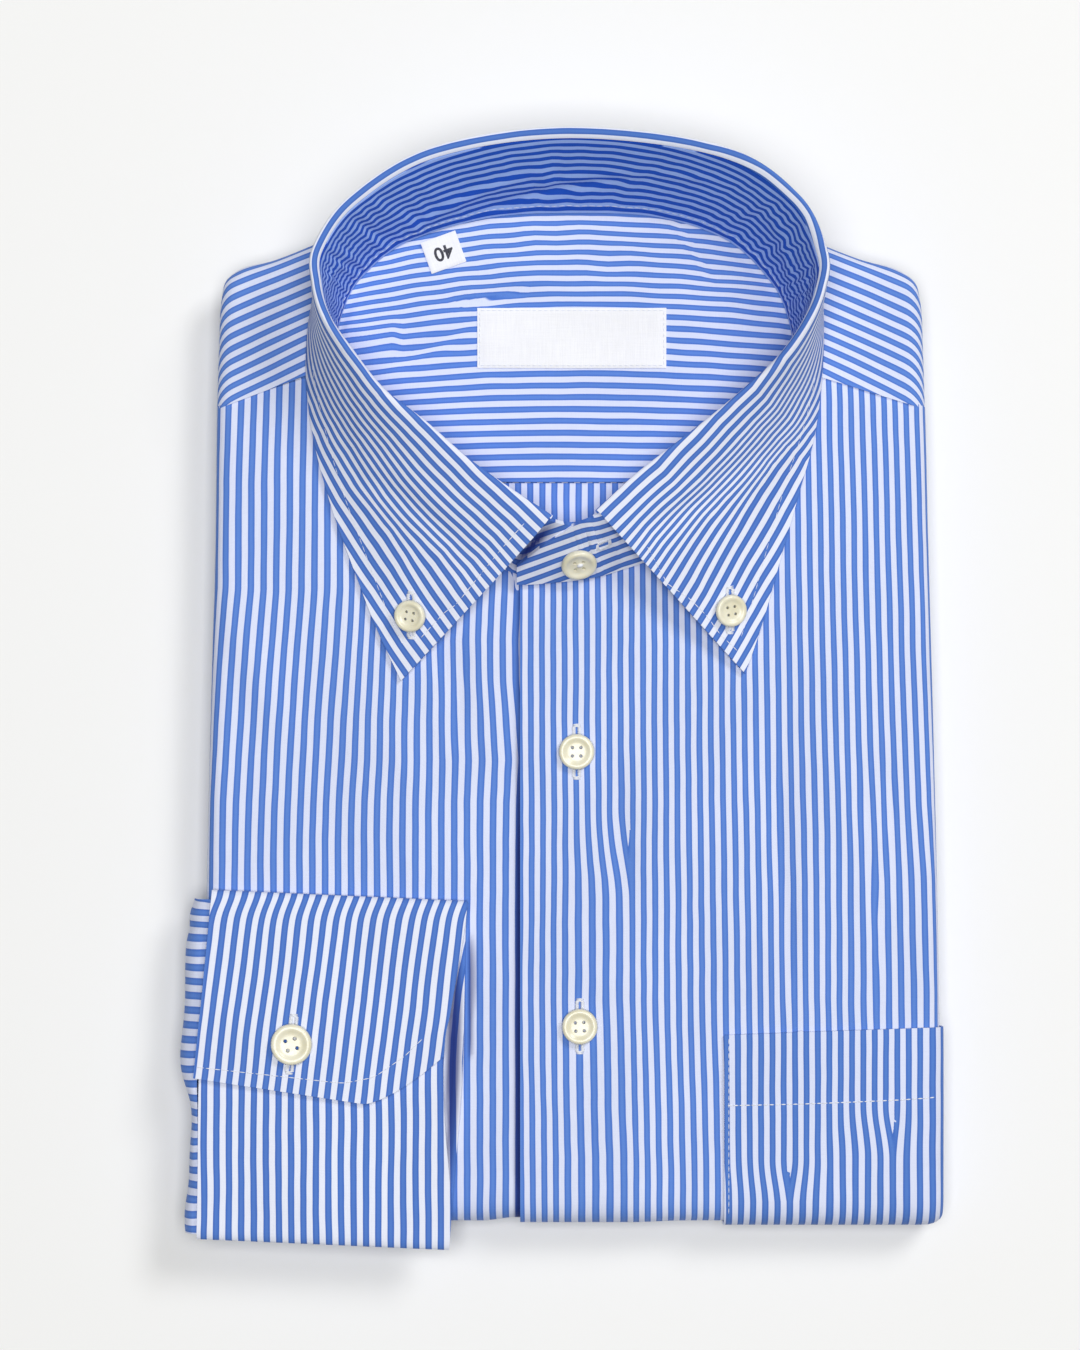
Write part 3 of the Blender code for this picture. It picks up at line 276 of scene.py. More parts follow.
BUTTONHOLES = (
    # cloth, x, y, turn, length
    ("cloth_front_left", 0, 149.7, 0, 15.5), ("cloth_front_left", 1, 62.7, 0, 15.5),
    ("cloth_collar_leaf", -52.3, 192.9, 0, 13), ("cloth_collar_leaf", 48.4, 194.5, 0, 13),
    ("cloth_cuff_right", -90, 57.5, 5, 17), ("cloth_collar_stand", 8.4, 214.9, 66, 3))

LAYER_CLEAR = 0.4           # between the layers folded inside and the cloth round them
HAIRPIN_X = 108.0           # half the width of their flat faces
HAIRPIN_MIDDLE_X = -1.5
UPPER_SAG = 1.2             # how much lower they lie than they could, on top and round the sides
LOBE_SAG = 1.6
TURNED_REACH = 5.7          # how far they reach into the bottom fold at the sides
GROOVE_DEPTH = 2.5          # how far in the groove and the web between the slabs start
WEB_DEPTH = 3.5
WEB_HALF = 0.6
WEB_REACH = 1.5
WEB_INSIDE = 80.0           # where the web ends, from the sides
WEB_END_Y = 272.0
WEB_START = 0.07            # share of the way down where the web starts
TOP_CLEAR = 6.5             # below the outer yoke's edge
TAIL_CLEAR = 2.0            # before the fronts' ends underneath
HIDDEN_STRIPE = (0.0, 3.9)

SWELLS = {
    # quiet unevenness of the cloth or of its stripes: how high, how long its waves are, where they start
    "front_left": (0.22, 34.0, 1.3), "front_right": (0.22, 34.0, -1.3), "front_fine": (0.10, 13.0, 2.1),
    "pocket": (0.18, 26.0, 4.0), "yoke_outer": (0.22, 24.0, 0.6), "yoke_outer_stripes": (0.25, 30.0, 2.4),
    "yoke_inner": (0.2, 26.0, 3.0), "yoke_inner_stripes": (0.45, 17.0, 5.0), "label": (0.10, 14.0, 0.4),
    "stand_stripes": (0.35, 22.0, 1.0), "leaf": (0.16, 20.0, 2.7), "cuff": (0.16, 30.0, 1.1),
    "cuff_stripes": (0.25, 34.0, 0.3)}

# ---------------------------------------------------------------- creases and the lie of the stripes

FINE_CREASES = (
    # on the fronts: from x, from y, to x, to y, bow, half width, height, pull on the stripes
    (-114, 206, -96, 188, 0, 5, 0.35, 0), (-100, 178, -86, 142, 1.5, 6, 0.35, 0.2),
    (-44, 206, -41, 168, 1, 2.6, -0.55, 0.8), (-36, 196, -39, 146, -1, 2.2, -0.45, 0.7),
    (-30, 190, -25, 138, 1, 3, 0.4, -0.4), (-52, 160, -48, 60, 1.5, 8, 0.3, 0),
    (14.5, 150, 13.5, 108, 0.8, 2.4, -0.55, 0.5), (24, 120, 22, 70, 0.8, 6, 0.3, 0),
    (65.5, 150, 64.5, 104, 0.6, 2.2, -0.6, 0.7), (66.5, 112, 68, 64, -0.6, 2.4, -0.45, 0.5),
    (84, 158, 86, 112, 0.8, 4, 0.4, -0.3), (91.5, 140, 96.5, 92, 0.8, 2.4, -0.6, 0.8),
    (101, 146, 99, 108, 0.6, 2.2, -0.5, 0.6), (97, 104, 94, 62, -0.6, 2.6, -0.45, 0.5),
    (108, 190, 106, 128, 0.6, 5, 0.35, 0.2))

POCKET_CREASES = (
    (67.5, 36, 68.5, -4, 0.5, 2.4, -0.45, 0.7), (99.5, 44, 101, 10, -0.6, 2.6, -0.5, 0.7))

# painted shadow in the gap beside the placket: where it starts to fade, and its half width and strength at
# each height
PLACKET_SHADE_START = 0.35          # from the placket's edge to where the gap's shade starts to fade
PLACKET_SHADE_WIDTH = ((0, 1.5), (60, 1.4), (110, 1.15), (134, 0.95), (150, 0.8), (205, 0.55))
PLACKET_SHADE_DEPTH = ((0, 0.95), (120, 0.95), (138, 0.8), (160, 0.35), (205, 0.3))
CUFF_GAP_SHADOWS = (
    # painted shadow in the gaps along the cuff's open side: from x, from y, to x, to y, half width, depth
    (-40.6, 10, -37.6, 98, 2.4, 0.95), (-33.8, 50, -32.8, 99, 1.2, 0.75))

# Stripes that dive into a crease: x, y where it starts, y where it is gone, take-up, share drawn from
# the left, reach to the left, reach to the right
POCKET_FORKS = ((67.6, 21, 6.5, 3.6, 0.55, 24, 14), (100.7, 38, 21, 3.6, 0.62, 24, 8))
STRIPE_FORKS = ((16.7, 132, 101, 3.556, 1.0, 20, 12),)
FORK_HALF = 2.5                     # faces this near a fork's line close their stripes over it

LEFT_LEAN = (
    # height, how far the stripes stand to the right at x -114, -73, -42 and -20
    (0, -0.3, 0, 0, 0), (100, -0.2, 0, 0, 0), (122, 0, 0, 0, 0), (134, 0.3, 0.3, 0, 0.1),
    (147, 1, 1.1, 0.3, 0.9), (160, 1.9, 1.6, 0, 0.2), (172, 2.6, 2.5, 0, -0.9), (185, 3.6, 3.6, -0.4, -1.1),
    (201, 5.1, 4.6, 0.6, -0.4), (236, 5.4, 4.8, 1.2, 0), (275, 6.6, 5.6, 1.6, 0))
LEFT_LEAN_X = (-114.0, -73.0, -42.0, -20.0)
RIGHT_LEAN = (
    # height, how far the stripes stand to the right at x -16, 23, 55, 86 and 113
    (0, 0.7, 1.6, 2.9, 3.2, 4.8), (20, 0.6, 1.5, 2.8, 3, 4.8), (71, 0, 0.3, 1.6, 1.9, 4.8),
    (109, 0.3, 0.2, 1.2, 1.8, 3.9), (134, 0.3, 0.2, 0.6, 1.4, 2.2), (160, 0, 0, 0.2, 0.6, 1.2),
    (185, 0, 0, 0, 0, 0.3), (236, 0, -0.3, -0.6, -1, -1.3), (275, 0, -0.5, -1.2, -2, -2.6))
RIGHT_LEAN_X = (-16.0, 23.0, 55.0, 86.0, 113.0)

LEFT_STRIPE = (-114.4, 4.086)       # middle of a white stripe, and the repeat as it lies here
RIGHT_STRIPE = (-16.3, 3.556)
POCKET_STRIPE = (49.4, 3.60)
POCKET_LEAN = (46.0, 60.0, 36.0, 0.012)     # left of these X the stripes lean, about this height, this much
POCKET_PULL = 0.4                   # how much of its creases' pull shows
CUFF_STRIPE = (-119.8, 3.94)
CUFF_STRIPE_LEAN = math.radians(7)
CUFF_LEAN_Y = 45.0
CUFF_FLARE = (1.7, 93.0, 105.0)     # how far the stripes spread to the right between these heights
LEAF_REPEAT = 3.6
LEAF_COUNTS = (2, 5, 8, 11, 14, 17, 20)
LEAF_EVEN = (-3.0, 7.8, 18.6, 29.4, 40.2, 51.0, 61.8)
LEAF_STRIPES = (
    # place along the collar, how far outside the crease these white stripes lie there
    (0, 8.9, 19, 27, 36.7, 48.2, 59.3, 71.1), (0.5, 7, 16.3, 24.6, 33.3, 45.1, 56.6, 68),
    (1, 5.6, 14.8, 23.4, 30.6, 42, 53.3, 64.8), (1.5, 4.7, 13.8, 22.6, 29.7, 38.9, 50.6, 62.3),
    (2, 3.5, 13, 21.8, 29.3, 36.6, 48.9, 60.2), (2.5, 2.8, 12.4, 20.7, 28.8, 35.9, 47.2, 58.5),
    (3, 2.2, 11.4, 19.2, 27.2, 35.6, 45.6, 56.6), (3.5, 0.8, 9.8, 17.5, 25.6, 34, 43.5, 54.4),
    (4, -1.1, 8.3, 16.8, 25.2, 33.2, 41.8, 52.4), (4.5, -1.7, 8, 17.2, 25.9, 34, 42.6, 53),
    (5, -1.8, 8.4, 18, 27.4, 36.8, 46.5, 57), (6, *LEAF_EVEN), (11.9, *LEAF_EVEN),
    (12.5, -2.1, 8.7, 19.5, 30.3, 41.1, 51.9, 62.7), (13.3, -1.7, 9.1, 19.9, 30.7, 41.5, 52.3, 63.1),
    (13.9, -2.7, 8.1, 18.9, 29.7, 40.5, 51.3, 62.1), (14.5, *LEAF_EVEN), (16, *LEAF_EVEN),
    (17, -2.6, 7.8, 17.7, 27.4, 36.8, 46.5, 57), (17.5, -0.5, 9.2, 17.4, 25.8, 34, 43, 53.5),
    (18, 1.2, 10.9, 18.1, 25.7, 31.8, 40, 51), (18.5, 1.6, 11.1, 17.6, 24.6, 30.2, 39.6, 50.8),
    (19, 2.4, 11.9, 18.2, 24.4, 29.9, 41, 52.5), (19.5, 4, 13.1, 19.1, 25, 31, 42.9, 54.4),
    (20, 5.1, 14, 19.8, 25.3, 33, 45.4, 57), (20.5, 6.6, 14.5, 20.3, 26.2, 35.7, 47.9, 59.5),
    (21, 6.9, 14.8, 21.1, 27.8, 38.4, 50.7, 62.1), (21.5, 7.1, 15.2, 21.7, 29.7, 41.1, 52.7, 64.2),
    (22, 7.2, 16.4, 23, 31.6, 43, 54.4, 65.9))
STAND_REPEAT = 3.8
STAND_WHITE = 0.1
STAND_FRONT_REPEAT = 2.95            # in plan, where the stand's ends lie over each other at the front
STAND_FRONT_SLANT = math.radians(20)
STAND_FRONT_MIDDLE = (-2.0, 213.0)
STAND_FRONT_TOP = 227.5             # below this height the stand's ends are as crisp as the leaf
STAND_GAP_SHADOWS = (
    # from x, from y, to x, to y, bow, half width, depth, pull: painted shadow under the ends of the leaf
    (-6.6, 223.4, -20.6, 208.4, 0, 1.7, 1.15, 0), (9.5, 224.5, 25, 207.5, 0, 2, 0.55, 0))
STAND_CROWDING = 0.12               # how much closer the stripes lie towards the top of the stand
SLEEVE_REPEAT = 4.6
SLEEVE_END_BEND = 1.6               # how far they bend up at its upper edge
BACK_STRIPE = (-20.5, 3.85)

YOKE_STRIPE = (236.2, 3.4)
SHOULDER_SLOPE = math.radians(27)   # of the stripes on each shoulder
SHOULDER_BEND = 0.0049              # how fast they level out above this height, per millimetre
SHOULDER_LEVEL_Y = 262.0
SHOULDER_ROUND = 18.0               # how gently they turn over at centre back
SHOULDER_PIVOT = 90.0               # how far from the middle they keep their height
SHOULDER_TURN = 0.06                # how they turn up beside the side folds, from this far out
SHOULDER_TURN_START = 106.5

INNER_YOKE_STRIPE = (268.1, 3.80)
ARCH_START, ARCH_RUN = 250.0, 70.0  # the inner yoke's stripes arch above this height, fully after this run
ARCH_RISE, ARCH_HALF = (9.0, 4.5), 62.0     # how far, this far to the left and right of the middle
LOW_ARCH_RISE, LOW_ARCH_HALF = 0.8, 40.0    # the same for the lowest ones
YOKE_STEP = (34.0, 312.7, 0.63, 0.8)        # x, y and slant of a crease, and how far it lifts them
YOKE_PINCH = (-54.6, -58.8, 281.5, 4.6, 1.4)        # from x, to x, y, half height, how far it drops them
YOKE_CLOSER = (290.0, 0.105, 6.0)   # above this height they lie this much closer, after this run
YOKE_UNDER_STAND = 1.2              # how far the inner yoke runs on below the stand's seam
SEAM_DIP = 0.9                      # how far it sinks beside that seam, how far in and how widely
SEAM_DIP_OFF, SEAM_DIP_HALF = 2.6, 1.8

LEAF_CREASES = (
    # from x, from y, to x, to y, bow, half width, height, pull (none: the leaf's stripes are counted)
    (-80, 262, -69, 233, -2, 3, -0.8, 0), (-72, 238, -30, 206, -4, 3.4, -0.9, 0),
    (-60, 246, -36, 222, 3, 6, 0.7, 0), (-50, 200, -26, 204, 2, 5, 0.5, 0),
    (78, 272, 60, 240, 2, 3.2, -0.8, 0), (64, 246, 26, 214, 4, 3.4, -0.9, 0),
    (50, 232, 14, 214, 2, 2.6, -0.6, 0), (56, 226, 34, 196, 0, 7, 0.6, 0))

ROOM_COLOUR = (0.97, 0.97, 0.80, 1.0)
AIM_HEIGHT = 0.020                  # level where the picture's height is measured, in metres


# ---------------------------------------------------------------- small mathematics

def to_metres(points):
    """Places in the model's own frame."""
    points = np.asarray(points, float)
    return (points - np.array((0.0, REST_POINT_Y, 0.0))) * MM


def unit(vectors):
    """The same directions with length 1."""
    return vectors / np.linalg.norm(vectors, axis=-1, keepdims=True)


def ramp(value, start, end):
    """0 at start and 1 at end, eased at both."""
    t = np.clip((value - start) / (end - start), 0.0, 1.0)
    return t * t * (3 - 2 * t)


def fade(value, start, end):
    """1 at start and 0 at end, eased at both."""
    return ramp(-value, -end, -start)


def between(value, first, risen, falling, last):
    """0 outside first and last and 1 from risen to falling, eased."""
    return ramp(value, first, risen) * fade(value, falling, last)


def read(table, place):
    """Value at a place, read between the rows of a table of places and values."""
    return np.interp(place, *np.transpose(table))


def pair(first, second):
    """Grid of two-part places from two grids, or rows and columns, of numbers."""
    return np.stack(np.broadcast_arrays(first, second), axis=-1)


def bezier(start, leave, arrive, end, t):
    """Place on a cubic curve between start and end."""
    return (start * (1 - t) ** 3 + leave * 3 * t * (1 - t) ** 2
            + arrive * 3 * t * t * (1 - t) + end * t ** 3)


def run_length(points):
    """Distance along a line of points."""
    steps = np.linalg.norm(np.diff(points, axis=0), axis=1)
    return np.concatenate(([0.0], np.cumsum(steps)))


def run_down(points, column):
    """Distance down a grid along one of its columns, for every point."""
    return run_length(points[:, column])[:, None] + np.zeros(points.shape[:2])


def run_across(points, row):
    """Distance across a grid along one of its rows, for every point."""
    return run_length(points[row])[None, :] + np.zeros(points.shape[:2])


def spaced(start, end, step):
    """Evenly spaced values about this far apart, both ends included."""
    return np.linspace(start, end, max(2, round(abs(end - start) / step) + 1))


def graded(*stretches):
    """Values with a spacing of their own on each stretch: start, end and spacing."""
    first, *others = (spaced(*stretch) for stretch in stretches)
    return np.concatenate([first] + [values[1:] for values in others])


class Curve:
    """Smooth curves through the columns of a table, whose first column is the place along them."""

    def __init__(self, rows):
        self.rows = np.array(rows, float)
        self.slopes = np.gradient(self.rows, self.rows[:, 0], axis=0)

    def at(self, place):
        place = np.asarray(place, float)
        stations = self.rows[:, 0]
        row = np.clip(np.searchsorted(stations, place) - 1, 0, len(stations) - 2)
        step = stations[row + 1] - stations[row]
        t = np.clip((place - stations[row]) / step, 0.0, 1.0)[..., None]
        value = (self.rows[row] * (1 + 2 * t) * (1 - t) ** 2 + self.rows[row + 1] * t * t * (3 - 2 * t)
                 + step[..., None] * (self.slopes[row] * t * (1 - t) ** 2
                                      - self.slopes[row + 1] * t * t * (1 - t)))
        return value[..., 1:]


def numbered(rows):
    """A table with its rows' numbers as its first column."""
    return np.column_stack((np.arange(len(rows)), np.array(rows, float)))


SIDE_CURVE = Curve(SIDES)
COLLAR = Curve(numbered(COLLAR_BODY))
CUFF = Curve(CUFF_LAYERS)
SLEEVE_EDGE = Curve(SLEEVE_BULGE)
YOKE = Curve(YOKE_OUTLINE)


def soft_waves(x, y, size, seed):
    """A quiet, uneven swell between -1 and 1 with waves of about this size."""
    total = 0.0
    for k in range(5):
        angle = 2.399 * (k + 1) + seed
        length = size * (0.7 + 0.22 * k)
        along = x * math.cos(angle) + y * math.sin(angle)
        total = total + np.sin(along * 2 * math.pi / length + 1.7 * k + seed)
    return total / 5


def swell(kind, x, y):
    """One of the table's swells, in millimetres."""
    height, size, seed = SWELLS[kind]
    return height * soft_waves(x, y, size, seed)


def beside_line(x, y, from_x, from_y, to_x, to_y):
    """Share of a line's length at which a place lies, and how far it lies to the side of it."""
    run_x, run_y = to_x - from_x, to_y - from_y
    length = math.hypot(run_x, run_y)
    t = ((x - from_x) * run_x + (y - from_y) * run_y) / length ** 2
    return np.clip(t, 0.0, 1.0), ((x - from_x) * run_y - (y - from_y) * run_x) / length


def creases(table, x, y):
    """Height of listed creases at places in plan, and how far they draw the stripes aside."""
    height, drawn = np.zeros_like(x), np.zeros_like(x)
    for *line, bow, half_width, rise, pull in table:
        t, off = beside_line(x, y, *line)
        off = off - bow * 4 * t * (1 - t)
        strength = np.sin(math.pi * t) ** 0.8 * np.exp(-(off / half_width) ** 2)
        height += rise * strength
        drawn += pull * strength * off / half_width
    return height, drawn


def soft_relief(x, y):
    """Height that the fronts' largest soft folds add at places in plan."""
    height = np.zeros_like(x)
    for *line, half_width, rise in SOFT_FOLDS:
        t, off = beside_line(x, y, *line)
        flank = 0.5 * (1 + np.cos(math.pi * np.clip(np.abs(off) / half_width, 0, 1)))
        height += rise * np.sin(math.pi * t) * flank
    return height


def normals_of(points):
    """Unit normals of a grid of points."""
    normal = np.cross(np.gradient(points, axis=1), np.gradient(points, axis=0))
    length = np.linalg.norm(normal, axis=-1, keepdims=True)
    return normal / np.maximum(length, 1e-9)


# ---------------------------------------------------------------- body of the pack

def side_x(y, hand):
    """X of the pack's left (-1) or right (1) side at a height."""
    return SIDE_CURVE.at(y)[..., 0 if hand < 0 else 1]


def neckline_table():
    """Upper edge of the fronts: X against Y, from the left side to the right side."""
    seam = COLLAR.at(np.linspace(0, LAST_STATION, 8 * len(COLLAR_BODY)))[:, :2]
    front = seam[seam[:, 1] < SHOULDER_NECK_Y]
    tab = np.array(STAND_TAB_END)[::-1, :2]
    left = front[front[:, 0] < tab[0, 0] - 1]
    right = front[front[:, 0] > COLLAR_BODY[-1][0]]
    ends = [(side_x(SHOULDER_SIDE_Y, hand) + 2 * hand, SHOULDER_SIDE_Y) for hand in (-1, 1)]
    return np.array([ends[0], *left[np.argsort(left[:, 0])], *tab, *right[np.argsort(right[:, 0])], ends[1]])


NECKLINE = neckline_table()


def front_top_y(x):
    """Where the fronts' upper edge lies."""
    return np.interp(x, NECKLINE[:, 0], NECKLINE[:, 1]) - NECKLINE_CLEAR


def lap_shift(x, hand, upper_share):
    """How far the two fronts stand off or sink where they lap."""
    if hand > 0:
        return PLACKET_RISE * upper_share * (1 - ramp(x, *PLACKET_FADE))
    return (PLACKET_RISE * upper_share - LAP_DROP) * ramp(x, *LAP_FADE)


def front_surface(hand, place, along, lift=0.0):
    """Outer face of a front, and where each point lies across the chest when the cloth is flat.

    place 0..1 runs flat from the free edge to the side, 1..2 round the side fold and 2..3 inwards
    between the slabs. along 0..1 runs down the chest, 1..2 round the bottom fold and 2..3 back up
    underneath. lift moves the points off the cloth, for what lies on it.
    """
    free_edge = PLACKET_EDGE if hand > 0 else LAP_EDGE
    place, along = np.broadcast_arrays(np.asarray(place, float), np.asarray(along, float))

    def across(y):
        flat_end = side_x(y, hand) - hand * EDGE_DEPTH
        turned = np.clip(place - 1, 0, 1)
        turn = np.radians(90 - 180 * turned)
        flat, inner = place <= 1, place > 2
        flat_x = free_edge + (flat_end - free_edge) * place
        x = np.where(flat, flat_x, flat_end + hand * (EDGE_DEPTH + lift) * np.cos(turn))
        x = np.where(inner, flat_end - hand * TUCK * (place - 2), x)
        off = np.where(flat, MID_Z, EDGE_MIDDLE + EDGE_HALF * np.sin(turn))
        outward = np.where(flat, 1.0, np.where(inner, -1.0, np.sin(turn)))
        cloth_x = np.where(flat, flat_x, flat_end + hand * (math.pi * EDGE_DEPTH * turned
                                                            + TUCK * np.clip(place - 2, 0, 1)))
        return x, off, outward, cloth_x

    upper_y = front_top_y(across(np.full(place.shape, SHOULDER_SIDE_Y))[0])
    turn = np.pi * np.clip(along - 1, 0, 1)
    y = np.where(along <= 1, upper_y + (FOLD_DEPTH - upper_y) * along,
                 FOLD_DEPTH + (TAIL_END - FOLD_DEPTH) * np.clip(along - 2, 0, 1))
    x, off, outward, cloth_x = across(y)
    upper_share = np.cos(turn / 2) ** 2
    shift = np.where(place <= 1, lap_shift(x, hand, upper_share) + soft_relief(x, y) * upper_share, 0.0)
    reach = np.where(place <= 1, FOLD_DEPTH + shift, FOLD_DEPTH * (off / MID_Z) ** CORNER_POWER)
    off = off + shift
    y = y - (reach + lift * outward) * np.abs(np.sin(turn)) ** FOLD_SQUARENESS
    rise = np.sign(np.cos(turn)) * np.abs(np.cos(turn)) ** FOLD_SQUARENESS
    z = MID_Z + (off + lift * outward) * rise
    return np.stack((x, y, z), axis=-1), cloth_x


def lean_at(table, columns_x, x, y):
    """How far the stripes stand aside at a place, read from a table of heights."""
    heights, *columns = np.transpose(table)
    total = np.zeros_like(x)
    for column, alone in zip(columns, np.eye(len(columns))):
        total += np.interp(x, columns_x, alone) * np.interp(y, heights, column)
    return total


def fork_shift(forks, x, y):
    """How far stripes close in over a stripe that dives into a crease."""
    total = np.zeros_like(x)
    for fork_x, from_y, to_y, take, left_share, left_reach, right_reach in forks:
        left = take * left_share * np.clip(1 - (fork_x - x) / left_reach, 0, 1)
        right = -take * (1 - left_share) * np.clip(1 - (x - fork_x) / right_reach, 0, 1)
        total += fade(y, to_y, from_y) * np.where(x < fork_x, left, right)
    return total


# ---------------------------------------------------------------- making things in Blender

def select_only(obj):
    """Leave this object as the only one selected, and active."""
    bpy.ops.object.select_all(action="DESELECT")
    obj.select_set(True)
    bpy.context.view_layer.objects.active = obj


def apply_modifier(obj, kind, **values):
    """Add a modifier with these values and apply it."""
    select_only(obj)
    bpy.ops.object.modifier_add(type=kind)
    modifier = obj.modifiers[-1]
    for key, value in values.items():
        setattr(modifier, key, value)
    bpy.ops.object.modifier_apply(modifier=modifier.name)


def cut_area(pattern):
    """Area of the flat cloth, from the grid of its pattern places."""
    a, b = pattern[:-1, :-1], pattern[1:, :-1]
    c, d = pattern[1:, 1:], pattern[:-1, 1:]
    first, second = c - a, d - b
    return float(np.abs(first[..., 0] * second[..., 1] - first[..., 1] * second[..., 0]).sum() / 2)


def lay_cloth(name, points, pattern, cut, wall, finish, side=-1, forks=(), shade=None):
    """A grid laid out at the size of the cut and shaped to the way the cloth lies.

    pattern is where each point lies among the stripes and cut where it lies on the flat cut, both in
    millimetres. side is -1 where the wall grows behind the shaped face. Whole repeats are taken out of
    the faces below a fork, where a stripe has dived into a crease. shade 0..1 is painted shadow, for points
    deep inside a gap between layers. Returns the cloth, its width and length, and its area.
    """
    rows, columns = points.shape[:2]
    bpy.ops.mesh.primitive_grid_add(x_subdivisions=columns - 1, y_subdivisions=rows - 1, size=1)
    cloth = bpy.context.object
    cloth.name = cloth.data.name = name
    mesh = cloth.data
    flat = np.zeros(len(mesh.vertices) * 3)
    mesh.vertices.foreach_get("co", flat)
    flat = flat.reshape(-1, 3)
    column = np.rint((flat[:, 0] + 0.5) * (columns - 1)).astype(int)
    row = np.rint((flat[:, 1] + 0.5) * (rows - 1)).astype(int)
    mesh.vertices.foreach_set("co", to_metres(points[row, column]).ravel())
    corner = np.zeros(len(mesh.loops), int)
    mesh.loops.foreach_get("vertex_index", corner)
    places = (pattern[row, column] * MM)[corner]
    repeat = bpy.context.scene.shirt_cloth.stripe_repeat
    for fork_x, from_y, *_ in forks:
        faces = places[:, 0].reshape(-1, 4)
        x, y = (points[row, column][corner][:, k].reshape(-1, 4) for k in (0, 1))
        near = (np.abs(x - fork_x).min(axis=1) < FORK_HALF) & (y.min(axis=1) < from_y)
        closed = faces - repeat * np.rint((faces - faces[:, :1]) / repeat)
        places[:, 0] = np.where(near[:, None], closed, faces).ravel()
    mesh.uv_layers[0].data.foreach_set("uv", places.ravel())
    # painted shadow: the shade is kept on the points for the cloth material to darken them
    if shade is not None:
        depth = mesh.attributes.new("painted_gap_shadow", "FLOAT", "POINT")
        depth.data.foreach_set("value", shade[row, column].ravel())
    mesh.update()
    apply_modifier(cloth, "SOLIDIFY", thickness=wall * MM, offset=side, use_even_offset=True)
    select_only(cloth)
    bpy.ops.object.shade_smooth_by_angle(angle=SMOOTH_ANGLE)
    cloth.data.materials.clear()
    cloth.data.materials.append(finish)
    width, length = (float(size) for size in np.ptp(cut.reshape(-1, 2), axis=0) * MM)
    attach(cloth, "root")
    return cloth, (width, length), min(cut_area(cut) * MM * MM, width * length)


def make_cloth(name, node, points, pattern, cut, wall, finish, held, rests_on, slot="shirting", **lay):
    """A piece of cloth in its solid's place, laid out at the size of its cut, with its solid hidden."""
    cloth, size, area = lay_cloth(name, points, pattern, cut, wall, finishes()[finish], **lay)
    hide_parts(node)
    return cloth


def copies(name, original, places):
    """One mesh of thread: many copies of a modelled stitch, which is then removed."""
    built = bmesh.new()
    for place in places:
        first = len(built.verts)
        built.from_mesh(original.data)
        built.verts.ensure_lookup_table()
        bmesh.ops.transform(built, matrix=place, verts=built.verts[first:])
    mesh = bpy.data.meshes.new(name)
    built.to_mesh(mesh)
    built.free()
    mesh.shade_smooth()
    obj = bpy.data.objects.new(name, mesh)
    bpy.context.scene.collection.objects.link(obj)
    bpy.data.objects.remove(original, do_unlink=True)
    obj.data.materials.append(finishes()["thread"])
    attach(obj, "root")


def facing_turn(run, normal):
    """Turn that lays a piece with its X along run and its Z along normal."""
    up = Vector(normal).normalized()
    along = Vector(run)
    along = (along - up * along.dot(up)).normalized()
    return Matrix((along, up.cross(along), up)).transposed().to_4x4()


# ---------------------------------------------------------------- materials

def new_group(name, inputs, outputs):
    """An empty node group with the given sockets."""
    group = bpy.data.node_groups.new(name, "ShaderNodeTree")
    for label, kind, value in inputs:
        socket = group.interface.new_socket(name=label, in_out="INPUT", socket_type=kind)
        if value is not None:
            socket.default_value = value
    for label, kind in outputs:
        group.interface.new_socket(name=label, in_out="OUTPUT", socket_type=kind)
    return group, group.nodes.new("NodeGroupInput"), group.nodes.new("NodeGroupOutput")


class Wiring:
    """Adds nodes to a tree and joins them."""

    def __init__(self, tree):
        self.tree = tree

    def feed(self, node, values):
        """Set or join a node's inputs, given by name or by number."""
        for key, value in values.items():
            if isinstance(value, bpy.types.NodeSocket):
                self.tree.links.new(value, node.inputs[key])
            else:
                node.inputs[key].default_value = value
        return node

    def put(self, kind, *values, **settings):
        node = self.tree.nodes.new(kind)
        for key, value in settings.items():
            setattr(node, key, value)
        return self.feed(node, dict(enumerate(values)))

    def math(self, operation, *values):
        return self.put("ShaderNodeMath", *values, operation=operation).outputs[0]

    def blend(self, share, low, high):
        """Mix of two colours, each a socket or red, green and blue."""
        low, high = (c if isinstance(c, bpy.types.NodeSocket) else (*c, 1) for c in (low, high))
        node = self.put("ShaderNodeMix", data_type="RGBA", clamp_factor=True)
        return self.feed(node, {0: share, 6: low, 7: high}).outputs[2]

    def remap(self, value, from_low, from_high, to_low=0.0, to_high=1.0, smooth=True):
        return self.put("ShaderNodeMapRange", value, from_low, from_high, to_low, to_high,
                        interpolation_type="SMOOTHSTEP" if smooth else "LINEAR").outputs[0]

    def noise(self, vector, scale, detail=2.0):
        values = {"Vector": vector, "Scale": scale, "Detail": detail}
        return self.feed(self.put("ShaderNodeTexNoise"), values).outputs["Fac"]

    def stretched_noise(self, vector, scale, detail=2.0):
        """Noise whose scale differs along each axis."""
        spread = self.feed(self.put("ShaderNodeMapping"), {"Vector": vector, "Scale": scale})
        return self.noise(spread.outputs[0], 1.0, detail)

    def bump(self, height, strength, distance):
        values = {"Strength": strength, "Distance": distance, "Height": height}
        return self.feed(self.put("ShaderNodeBump"), values).outputs[0]

    def group(self, group, values):
        return self.feed(self.put("ShaderNodeGroup", node_tree=group), values).outputs


